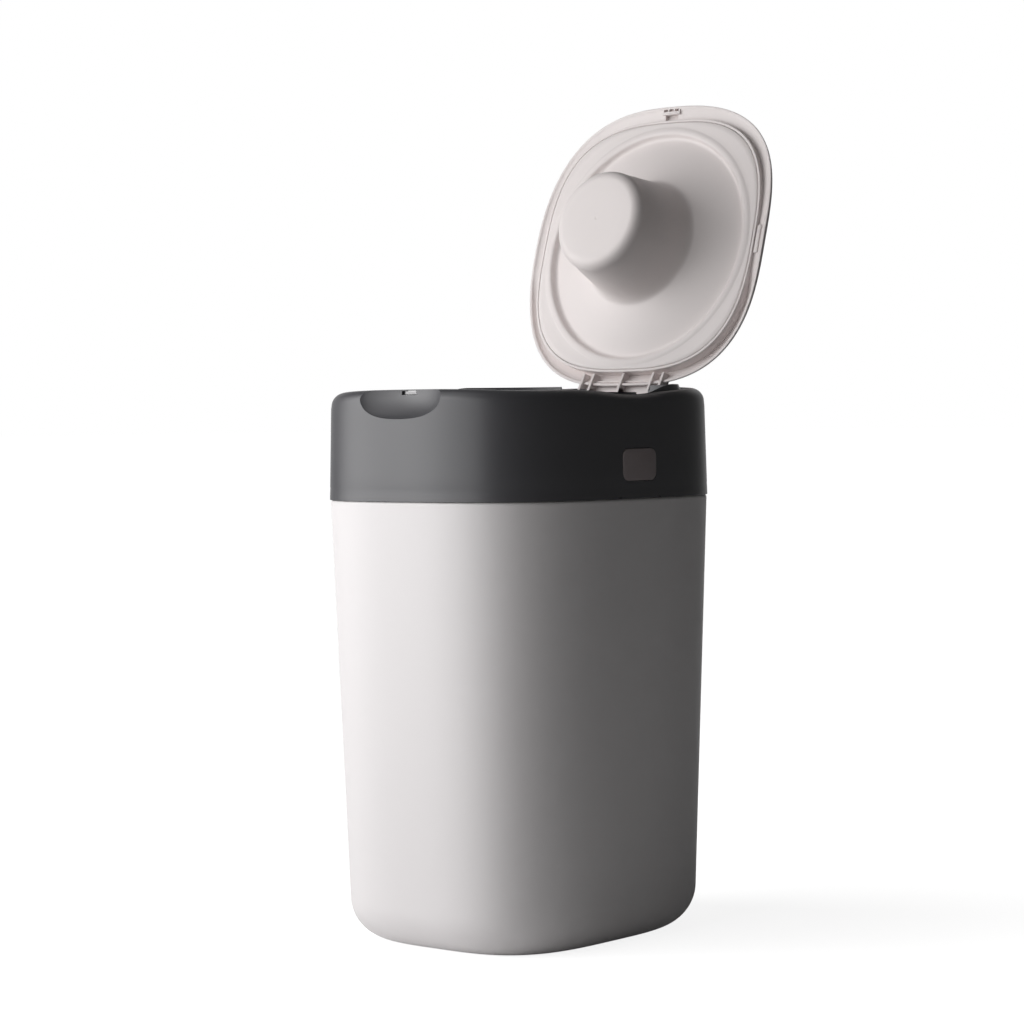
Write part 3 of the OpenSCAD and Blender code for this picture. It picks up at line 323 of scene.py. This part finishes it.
def draft(z):
    return DRAFT * (SEAM_Z - z)


def make_tub():
    outer = []
    for i in range(25):
        t = math.pi / 2 * i / 24
        z = FOOT_H * (1 - math.cos(t))
        outer.append(tub_ring(draft(z) + FOOT_W * (1 - math.sin(t)), z))
    outer += [tub_ring(draft(z), z) for z in (45, 70, 100, 140, 180, 220, 260, 300, 325, SEAM_Z - 0.6)]
    outer += [tub_ring(0, SEAM_Z - 0.25), tub_ring(0.06, SEAM_Z + 0.1), tub_ring(0.3, SEAM_Z + 0.7),
              tub_ring(0.7, SHOULDER_Z - 0.3), tub_ring(1.1, SHOULDER_Z)]
    spigot = HEAD_WALL + 0.3
    inner = [tub_ring(0, SHOULDER_Z, spigot), tub_ring(0, SPIGOT_Z, spigot),
             tub_ring(0, SPIGOT_Z, spigot + SPIGOT_T), tub_ring(0, SEAM_Z - 3, spigot + SPIGOT_T)]
    inner += [tub_ring(draft(z), z, TUB_WALL) for z in (SEAM_Z - 8, 300, 260, 200, 140, 90, 50)]
    for i in range(16, -1, -1):
        t = math.pi / 2 * i / 16
        z = TUB_FLOOR + (FOOT_H - TUB_FLOOR) * (1 - math.cos(t))
        inner.append(tub_ring(draft(z) + (FOOT_W - TUB_WALL) * (1 - math.sin(t)), z, TUB_WALL))
    tub = loft("tub_body", outer + inner, sharp=SHARP_BODY)
    # knuckles of the tilt hinge
    lugs = []
    for y0, y1 in TUB_KNUCKLES:
        lugs.append(rod("lug", "y", TILT_R, y0, y1, TILT_X, TILT_Z))
        lugs.append(block("web", (TILT_X, y0, SEAM_Z - 8), (-115.8, y1, SEAM_Z - 0.2)))
    join(tub, lugs)
    return finish_piece(tub, "tub", "bin", "tub_plastic", "tub")


# ---------- head ----------
def head_r(a, z, inset):
    d = HEAD_DRAFT * (z - HEAD_Z) + inset
    return super_r(a, HEAD_X - d, HEAD_Y - d, PLAN_N)


def to_back(a):
    """Rise from nothing at the middle of a side to one along the back."""
    t = min(1, max(0, (math.sin(a) - 0.17) / 0.33))
    return t * t * (3 - 2 * t)


def head_ring(turn, z, inset):
    return [polar(head_r(a, z, inset), a, z) for a in turn]


def crest_at(a):
    """Height of the head's top edge."""
    dip = DIP_SIDE * math.cos(a) ** 2 + DIP_FRONT * math.sin(a) ** 2
    return CREST_Z + BACK_RISE * to_back(a) - CORNER_DROP * corner(a) ** 3 - math.cos(2 * a) ** 2 * dip


def seat_at(a):
    """Height of the lid's seat inside that edge."""
    return min(crest_at(a), SIDE_Z + LID_WAVE * corner(a))


def pocket_r(a):
    return super_r(a, LID_X, LID_Y, LID_N) + 0.9 + 2.1 * to_back(a) - LID_SHIFT * math.sin(a)


def side_at(a, r):
    return seat_at(a) + max(0, r - pocket_r(a)) * POCKET_SLOPE


def seat_in_r(a):
    return super_r(a, PANEL + WALL_T + 1.2, PANEL + WALL_T + 1.2, PANEL_N) - PANEL_SHIFT * math.sin(a)


def crest_profile(a, steps=14):
    """Points (r, z) over the rounded top edge, the lid's seat and its rib, down to the deck."""
    wide, high = CREST_W + CREST_GROW * corner(a), CREST_H + CREST_GROW * corner(a)
    r0, r1 = head_r(a, CREST_Z, 0), head_r(a, CREST_Z, wide)
    share = min(1, (r0 - seat_in_r(a) - 0.3) / (r0 - r1))
    points = []
    for i in range(steps + 1):
        inset = wide * share * (1 - math.cos(math.pi / 2 * i / steps))
        drop = high * (1 - math.sqrt(max(0, 1 - (1 - inset / wide) ** 2)))
        r = head_r(a, CREST_Z, inset)
        points.append((r, min(crest_at(a) - drop, side_at(a, r))))
    round_in = head_r(a, CREST_Z, wide * share) - 0.01
    crest_in = min(pocket_r(a) + (crest_at(a) - seat_at(a)) / POCKET_SLOPE, round_in)
    pocket_in = min(pocket_r(a), crest_in - 0.01)
    points += [(crest_in, min(crest_at(a), side_at(a, crest_in))), (pocket_in, seat_at(a))]
    room = min(RIB_W, pocket_in - 0.01 - seat_in_r(a))
    rise = 0.2 + to_back(a) * max(0, RIB_TOP - seat_at(a) - 0.2)
    for share, level in RIB_SHAPE:
        points.append((seat_in_r(a) + share * room, seat_at(a) + level * rise))
    return points + [(seat_in_r(a), DECK_Z)]


def scoop_plan(count):
    """Outline of the scoop from above, of half size one."""
    return [(math.copysign(abs(math.cos(a)) ** (2 / SCOOP_PLAN_N), math.cos(a)),
             math.copysign(abs(math.sin(a)) ** (2 / SCOOP_PLAN_N), math.sin(a))) for a in angles(count)]


def scoop_bowl(name, grow):
    """Bowl of the finger scoop, grown by a wall, carried up past the crest."""
    rings = []
    deep = SCOOP_H - 2 + grow
    half_x, half_y = SCOOP_HALF + grow, HEAD_Y + SCOOP_BACK + grow
    levels = [0.1] + [math.sin(math.pi / 2 * j / 24) for j in range(3, 25)]
    for k in levels:
        below = max(0, 1 - k ** SCOOP_N) ** (1 / SCOOP_N)
        into = (1 - below ** SCOOP_SIDE_N) ** (1 / SCOOP_SIDE_N)
        rings.append([(half_x * k * x, half_y * into * y - HEAD_Y, CREST_Z - 2 - deep * below)
                      for x, y in scoop_plan(200)])
    rings.append([(x, y, CREST_Z + 10) for x, y, _ in rings[-1]])
    return loft(name, rings)


def rounded_outline(w, h, r, steps=8):
    points = []
    for cu, cv, a0 in ((w - r, h - r, 0), (r - w, h - r, 90), (r - w, r - h, 180), (w - r, r - h, 270)):
        for i in range(steps + 1):
            a = math.radians(a0 + 90 * i / steps)
            points.append((cu + r * math.cos(a), cv + r * math.sin(a)))
    return points


def make_head():
    turn = angles(288)
    profiles = [crest_profile(a) for a in turn]
    rings = [head_ring(turn, HEAD_Z, 0.25), head_ring(turn, HEAD_Z + 0.25, 0)]
    rings += [head_ring(turn, z, inset) for z, inset in HEAD_STEP]
    rings += [head_ring(turn, z, 0) for z in (360, 375, 390, 402, 410)]
    rings += [[polar(r, a, z) for a, (r, z) in zip(turn, level)] for level in zip(*profiles)]
    rings += [head_ring(turn, DECK_Z, HEAD_WALL + 0.6), head_ring(turn, HEAD_Z, HEAD_WALL)]
    head = loft("head_body", rings, closed=True, sharp=SHARP_BODY)
    # wall round the scoop
    liner = loft("liner", [[polar(super_r(a, HEAD_X - 2.2, HEAD_Y - 2.2, PLAN_N), a, z) for a in turn]
                           for z in (CREST_Z - SCOOP_H - 3, DECK_Z + 0.5)])
    boolean(liner, scoop_bowl("liner_form", SCOOP_WALL), "INTERSECT")
    boolean(head, liner, "UNION")
    boolean(head, scoop_bowl("scoop", 0))
    # window of the button, through the wall
    outline = rounded_outline(BUTTON_W / 2 + BUTTON_GAP, BUTTON_H / 2 + BUTTON_GAP, BUTTON_R + BUTTON_GAP)
    window = extrude("window", outline, lambda u, v, w: (HEAD_X - 8 + w, u, BUTTON_Z + v), 12)
    boolean(head, window)
    # notch for the lid's hinge, wider above the axis
    half = ARM_END + 4
    for low, back in ((DECK_Z - 1, HINGE_Y + FLAP_R + 1.2), (HINGE_Z + 0.4, HINGE_Y + 10.2)):
        boolean(head, block("notch", (-half, PANEL - 8, low), (half, back, CREST_Z + 9)))
    # room for the lid catch: its end in the scoop, its leg, and its bar with the hook
    x0, x1, top = CATCH_X - CATCH_W / 2 - 0.4, CATCH_X + CATCH_W / 2 + 0.4, CATCH_TOP + 0.4
    leg_y = SCOOP_BACK + 1.7
    for lo, hi in (((x0 - 3.2, SCOOP_BACK - 3, CATCH_TOP - 2.6), (x1, leg_y, top)),
                   ((x0, SCOOP_BACK + 1.4, DECK_Z + 0.4), (x1, leg_y + 7.6, top)),
                   ((x0, leg_y + 3.2, DECK_Z - 1), (x1, HOOK_Y + 4, top))):
        boolean(head, block("slot", lo, hi))
    # two nicks in the seam under the button
    for y in (-NICK_Y, NICK_Y):
        boolean(head, block("nick", (HEAD_X - 5, y - NICK_HALF, HEAD_Z - 1),
                            (HEAD_X + 2, y + NICK_HALF, HEAD_Z + 1.2)))
    # knuckles of the tilt hinge, between the tub's
    lugs = []
    for y0, y1 in HEAD_KNUCKLES:
        lugs.append(rod("lug", "y", TILT_R, y0, y1, TILT_X, TILT_Z))
        lugs.append(block("web", (TILT_X, y0, HEAD_Z + 0.1), (1.4 - HEAD_X, y1, HEAD_Z + 8)))
    join(head, lugs)
    return finish_piece(head, "head", "head", "head_plastic", "head_casing")


def make_button():
    cap = extrude("button_cap", rounded_outline(BUTTON_W / 2, BUTTON_H / 2, BUTTON_R),
                  lambda u, v, w: (HEAD_X - 7.8 + w, u, BUTTON_Z + v), 7.7, 0.7)
    return finish_piece(cap, "button", "button", "button_plastic", "release_button")


# ---------- lid ----------
def lid_r(a, inset):
    return super_r(a, LID_X - inset, LID_Y - inset, LID_N)


def lid_ring(inset, z, wave, count):
    points = []
    for a in angles(count):
        r = lid_r(a, inset)
        points.append((r * math.cos(a), r * math.sin(a) - LID_SHIFT, z + wave * corner(a)))
    return points


def panel_r(a, grow):
    return super_r(a, PANEL + grow, PANEL + grow, PANEL_N)


def panel_ring(grow, z, count):
    return [(panel_r(a, grow) * math.cos(a), panel_r(a, grow) * math.sin(a) - PANEL_SHIFT, z)
            for a in angles(count)]


def inner_rise(inset):
    """Height of the dish's inside above the rim, so far in from the lid's edge."""
    k = min(1, max(0, (inset - LID_WALL) / (LID_W - LID_WALL)))
    return (LID_H - LID_WALL) * math.sqrt(1 - (1 - k) ** 2)


def dish_ring(grow, count):
    """Ring where the wall round the panel meets the dish."""
    points = []
    for a in angles(count):
        r = panel_r(a, grow)
        inset = lid_r(a, 0) - r
        points.append((r * math.cos(a), r * math.sin(a) - PANEL_SHIFT, RIM_Z + inner_rise(inset)))
    return points


def channel_z(a, rise):
    """Bottom of the channel inside the lid's edge, shallow in front and deep over the rib behind."""
    edge = LID_WAVE * corner(a)
    return RIM_Z + edge + (CHANNEL_FRONT + (1 - CHANNEL_FRONT) * to_back(a)) * (rise - edge)


def channel_wall_ring(count):
    return [(x, y, channel_z(math.atan2(y, x), z - RIM_Z)) for x, y, z in dish_ring(WALL_T, count)]


def channel_ring(inset, count):
    """The corner wave fades from the lid's edge to the wall round the panel."""
    if inset < WAVE_HALF:
        w = 1 - (inset - LID_WALL) / WAVE_OUT
    else:
        w = 0.5 * (1 - (inset - WAVE_HALF) / WAVE_IN)
    points = []
    for a in angles(count):
        r = lid_r(a, inset)
        z = channel_z(a, inner_rise(inset) + LID_WAVE * corner(a) * max(0, w))
        points.append((r * math.cos(a), r * math.sin(a) - LID_SHIFT, z))
    return points


def make_lid_shell():
    count = 240
    top = RIM_Z + LID_H
    rings = [lid_ring(LID_X / 2, top + CROWN - LID_WALL, 0, count),
             lid_ring(LID_W, top - LID_WALL, 0, count),
             lid_ring(16.3, RIM_Z + inner_rise(16.3), 0, count), dish_ring(0, count),
             panel_ring(0, PANEL_Z + 0.3, count), panel_ring(0.3, PANEL_Z, count),
             panel_ring(WALL_T - 0.3, PANEL_Z, count), panel_ring(WALL_T, PANEL_Z + 0.3, count),
             channel_wall_ring(count)]
    rings += [channel_ring(inset, count) for inset in (6.2, 4.9, WAVE_HALF, 3.3, 2.8)]
    rings += [lid_ring(LID_WALL, RIM_Z + 0.25, LID_WAVE, count),
              lid_ring(LID_WALL - 0.6, RIM_Z, LID_WAVE, count), lid_ring(0.5, RIM_Z, LID_WAVE, count)]
    for i in range(19):
        t = math.pi / 2 * i / 18
        rings.append(lid_ring(max(0.1, LID_W * (1 - math.cos(t))),
                              RIM_Z + max(0.3, LID_H * math.sin(t)), LID_WAVE * (1 - math.sin(t)), count))
    rings += [lid_ring(40, top + CROWN * 0.6, 0, count), lid_ring(LID_X / 2, top + CROWN, 0, count),
              lid_ring(90, top + CROWN, 0, count)]
    shell = loft("lid_dish", rings, sharp=SHARP_BODY)
    # room for the hook of the catch
    boolean(shell, block("room", (CATCH_X - 6.4, HOOK_Y - 1.9, RIM_Z - 1),
                         (CATCH_X + 6.4, HOOK_Y + 4, RIM_Z + 6)))
    join(shell, hinge_parts() + [add_latch(shell), block("clip", CLIP_LO, CLIP_HI, 0.5)])
    open_lid(shell)
    return finish_piece(shell, "lid", "lid", "lid_plastic", "lid_shell")


def arm_outline():
    """Side view of a hinge arm, from its eye to the lid's edge."""
    return [(HINGE_Y, HINGE_Z - EYE_R), (HINGE_Y + EYE_R * 0.7, HINGE_Z + EYE_R * 0.7),
            (HINGE_Y, HINGE_Z + FLAP_R), (ARM_ROOT + 4.4, RIM_Z + 9.4), (ARM_ROOT, RIM_Z + 8),
            (ARM_ROOT, PANEL_Z + 1.5)]


def hinge_parts():
    parts = []
    # one arm in the middle and a pair on each side
    starts = [-ARM_T / 2]
    for s in (-1, 1):
        for k in (0, 1):
            starts.append(s * (ARM_X + k * (ARM_GAP + ARM_T)) - (ARM_T if s < 0 else 0))
    for x in starts:
        parts.append(extrude("arm", arm_outline(), lambda u, v, w, x=x: (x + w, u, v), ARM_T, 0.25))
        parts.append(rod("eye", "x", EYE_R, x, x + ARM_T, HINGE_Y, HINGE_Z))
    # flap that carries the shell on over the hinge, and the cross bar under it
    outline = [(ARM_ROOT + 3, RIM_Z + 7.4), (ARM_ROOT + 3, RIM_Z + 9.2)]
    outline += arc(HINGE_Y, HINGE_Z, FLAP_R, 105, 65, 8)
    outline += arc(HINGE_Y, HINGE_Z, FLAP_R - FLAP_T, 65, 105, 8)
    parts.append(extrude("flap", outline, lambda u, v, w: (w - ARM_END, u, v), 2 * ARM_END, 0.25))
    parts.append(block("bar", (-ARM_END, ARM_ROOT + 6, RIM_Z + 3.4),
                       (ARM_END, ARM_ROOT + 7.2, RIM_Z + 8.6), 0.25))
    return parts


def add_latch(shell):
    """Tab behind the lid's front edge, with three cells and the lip that the catch holds."""
    x0, x1, y = CATCH_X - LATCH_HALF, CATCH_X + LATCH_HALF, LATCH_Y
    boolean(shell, block("tab", (x0, y - 2.6, RIM_Z + 0.2), (x1, y + 1.6, RIM_Z + LATCH_TOP), 0.2), "UNION")
    for i in range(3):
        x = x0 + LATCH_EDGE + i * LATCH_CELL * 1.3
        boolean(shell, block("cell", (x, y - 1.7, RIM_Z - 1), (x + LATCH_CELL, y + 0.6, RIM_Z + 3.4)))
    return block("lip", (x0, y + 1.59, RIM_Z + 0.2), (x1, y + 3.2, RIM_Z + 1.5), 0.2)


def make_lid_panel():
    count = 256
    turn = angles(count)
    side = PLUNGER_H - TIP_ROUND
    profile = PANEL_PROFILE + [(TIP_R + 0.7, side - 5)]
    profile += [(TIP_R - TIP_ROUND * (1 - math.cos(math.pi / 2 * i / 10)),
                 side + TIP_ROUND * math.sin(math.pi / 2 * i / 10)) for i in range(11)]
    # flat end, with the small gate mark in its middle
    profile += [(24, PLUNGER_H), (10, PLUNGER_H), (2.1, PLUNGER_H), (1.5, PLUNGER_H), (1.1, PLUNGER_H - 0.25)]
    rings = [panel_ring(-0.35, PANEL_Z + 2.5, count), panel_ring(-0.35, PANEL_Z + 0.3, count),
             panel_ring(-0.65, PANEL_Z, count)]
    # from the panel's outline to the round bead
    for k in (0.35, 0.8):
        ring = []
        for a in turn:
            r = (1 - k) * panel_r(a, -0.65) + k * (PANEL_EDGE + 1.4)
            ring.append((r * math.cos(a), r * math.sin(a) - PANEL_SHIFT * (1 - k), PANEL_Z))
        rings.append(ring)
    rings += [[polar(r, a, RING_Z - h) for a in turn] for r, h in profile]
    verts = [p for ring in rings for p in ring]
    faces = loft_faces(count, len(rings), caps=False)
    last = (len(rings) - 1) * count
    faces.append(tuple(last + i for i in range(count)))
    panel = mesh_piece("lid_inner", verts, faces, SHARP_PANEL)
    open_lid(panel)
    return finish_piece(panel, "lid", "lid", "lid_plastic", "lid_panel", "panel_dish", "plunger")


# ---------- CAD nodes that stay, with their finishes ----------
KEPT = {
    "foot": ("tub_pads",),
    "seal": ("deck_seal",),
    "head": ("head_deck", "deck_skirt", "hinge_lugs", "head_base", "neck_guide", "deck_posts", "bar_guides",
             "catch_stop", "pawl_post", "cutter_rail"),
    "inner": ("latch_bar", "lid_catch", "click_pawl"),
    "ring": ("twist_ring", "ring_floor"),
    "cassette": ("cassette_body", "cassette_floor", "cassette_core", "cassette_cover"),
    "film": ("film_pack",),
    "slider": ("cutter_slider",),
    "steel": ("latch_keeper", "keeper_screws", "tilt_hinge_pin", "base_screws", "button_spring",
              "catch_spring", "pawl_pin", "pawl_spring", "cutter_blade", "rail_screws", "lid_hinge_pins"),
}
for mat, nodes in KEPT.items():
    for node in nodes:
        dress(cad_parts[node], mat)

make_tub()
make_head()
make_button()
make_lid_shell()
make_lid_panel()


# ---------- stage ----------
# direction of the backdrop from the object, the cosines between which it fades in reflections,
# and the share of it that they keep all round
BACKDROP, FADE_FROM, FADE_TO, AROUND = (-0.643, 0.766, 0.0), 0.7, 1.0, 0.04
# the floor's glow under the object, and the distances between which it grows to full white
FLOOR_GLOW, GLOW_NEAR, GLOW_FAR = 0.86, 0.15, 0.9
FILL_LIGHT = 0.04
# every softbox: what it aims at, its distance, its width and its height
AIM, LAMP_FAR, LAMP_W, LAMP_H = Vector((0, 0, 0.25)), 1.5, 1.1, 1.8
LENS, CAMERA_AT = 102.373, (1.46181, -1.7432, 0.40259)
CAMERA_RIGHT = (0.76441, 0.64464, -0.01082)
CAMERA_UP = (-0.01275, 0.0319, 0.99941)
CAMERA_FORWARD = (-0.6446, 0.76382, -0.0326)


def seen_ray(tree, direction):
    """One for rays from the camera or through a clear piece, and less for reflections, the more so
    the further they lie from the backdrop; direction is a point or a direction from the object."""
    path = tree.nodes.new("ShaderNodeLightPath")
    unit = tree.nodes.new("ShaderNodeVectorMath")
    unit.operation = "NORMALIZE"
    tree.links.new(direction, unit.inputs[0])
    behind = tree.nodes.new("ShaderNodeVectorMath")
    behind.operation = "DOT_PRODUCT"
    behind.inputs[1].default_value = BACKDROP
    tree.links.new(unit.outputs["Vector"], behind.inputs[0])
    span = tree.nodes.new("ShaderNodeMapRange")
    span.interpolation_type = "SMOOTHSTEP"
    span.inputs["From Min"].default_value = FADE_FROM
    span.inputs["From Max"].default_value = FADE_TO
    span.inputs["To Min"].default_value = AROUND
    tree.links.new(behind.outputs["Value"], span.inputs["Value"])
    mirrored = tree.nodes.new("ShaderNodeMath")
    mirrored.operation = "MULTIPLY"
    tree.links.new(path.outputs["Is Glossy Ray"], mirrored.inputs[0])
    tree.links.new(span.outputs["Result"], mirrored.inputs[1])
    value = mirrored.outputs["Value"]
    for name in ("Is Camera Ray", "Is Transmission Ray"):
        larger = tree.nodes.new("ShaderNodeMath")
        larger.operation = "MAXIMUM"
        tree.links.new(value, larger.inputs[0])
        tree.links.new(path.outputs[name], larger.inputs[1])
        value = larger.outputs["Value"]
    return value


def make_floor():
    """White floor: the lamps' light, and a soft glow that grows to full white away from the object."""
    mesh = bpy.data.meshes.new("floor")
    mesh.from_pydata([(-60, -60, 0), (60, -60, 0), (60, 60, 0), (-60, 60, 0)], [], [(0, 1, 2, 3)])
    floor = bpy.data.objects.new("floor", mesh)
    scene.collection.objects.link(floor)
    mat = bpy.data.materials.new("floor")
    mat.use_nodes = True
    tree = mat.node_tree
    link = tree.links.new
    shader = tree.nodes["Principled BSDF"]
    shader.inputs["Base Color"].default_value = (0.8, 0.8, 0.8, 1)
    shader.inputs["Roughness"].default_value = 0.9
    shader.inputs["Specular IOR Level"].default_value = 0
    place = tree.nodes.new("ShaderNodeNewGeometry")
    length = tree.nodes.new("ShaderNodeVectorMath")
    length.operation = "LENGTH"
    link(place.outputs["Position"], length.inputs[0])
    reach = tree.nodes.new("ShaderNodeMapRange")
    reach.interpolation_type = "SMOOTHSTEP"
    reach.inputs["From Min"].default_value = GLOW_NEAR
    reach.inputs["From Max"].default_value = GLOW_FAR
    reach.inputs["To Min"].default_value = FLOOR_GLOW
    reach.inputs["To Max"].default_value = 1.0
    link(length.outputs["Value"], reach.inputs["Value"])
    glow = tree.nodes.new("ShaderNodeEmission")
    glow.inputs["Color"].default_value = (1, 1, 1, 1)
    link(reach.outputs["Result"], glow.inputs["Strength"])
    both = tree.nodes.new("ShaderNodeAddShader")
    link(glow.outputs["Emission"], both.inputs[0])
    link(shader.outputs["BSDF"], both.inputs[1])
    mix = tree.nodes.new("ShaderNodeMixShader")
    link(seen_ray(tree, place.outputs["Position"]), mix.inputs["Fac"])
    link(shader.outputs["BSDF"], mix.inputs[1])
    link(both.outputs["Shader"], mix.inputs[2])
    link(mix.outputs["Shader"], tree.nodes["Material Output"].inputs["Surface"])
    floor.data.materials.append(mat)


def softbox(name, azimuth, elevation, power):
    """Area light; azimuth is turned from the front towards the button side."""
    light = bpy.data.lights.new(name, "AREA")
    light.shape = "RECTANGLE"
    light.size, light.size_y = LAMP_W, LAMP_H
    light.energy = power
    lamp = bpy.data.objects.new(name, light)
    a, e = math.radians(azimuth), math.radians(elevation)
    towards = Vector((math.sin(a) * math.cos(e), -math.cos(a) * math.cos(e), math.sin(e)))
    lamp.location = AIM + LAMP_FAR * towards
    lamp.rotation_euler = (AIM - lamp.location).to_track_quat("-Z", "Y").to_euler()
    scene.collection.objects.link(lamp)


def make_world():
    """White for the camera and in reflections of the backdrop, and a faint fill for all other rays."""
    world = bpy.data.worlds.new("studio")
    scene.world = world
    world.use_nodes = True
    tree = world.node_tree
    tree.nodes.clear()
    out = tree.nodes.new("ShaderNodeOutputWorld")
    mix = tree.nodes.new("ShaderNodeMixShader")
    seen = tree.nodes.new("ShaderNodeBackground")
    seen.inputs["Color"].default_value = (1, 1, 1, 1)
    seen.inputs["Strength"].default_value = 1
    fill = tree.nodes.new("ShaderNodeBackground")
    fill.inputs["Color"].default_value = (1, 1, 1, 1)
    fill.inputs["Strength"].default_value = FILL_LIGHT
    around = tree.nodes.new("ShaderNodeTexCoord")
    tree.links.new(seen_ray(tree, around.outputs["Generated"]), mix.inputs["Fac"])
    tree.links.new(fill.outputs["Background"], mix.inputs[1])
    tree.links.new(seen.outputs["Background"], mix.inputs[2])
    tree.links.new(mix.outputs["Shader"], out.inputs["Surface"])


def make_camera():
    data = bpy.data.cameras.new("camera")
    data.lens = LENS
    data.sensor_width = 36
    data.sensor_fit = "HORIZONTAL"
    data.clip_end = 200
    camera = bpy.data.objects.new("camera", data)
    turn = Matrix((CAMERA_RIGHT, CAMERA_UP, -Vector(CAMERA_FORWARD))).transposed().to_4x4()
    camera.matrix_world = Matrix.Translation(CAMERA_AT) @ turn
    scene.collection.objects.link(camera)
    scene.camera = camera


make_camera()
make_floor()
make_world()
softbox("key", -50, 8, 18)
softbox("front", -8, 8, 9)
softbox("high", -40, 40, 4.5)
scene.view_settings.view_transform = "Standard"
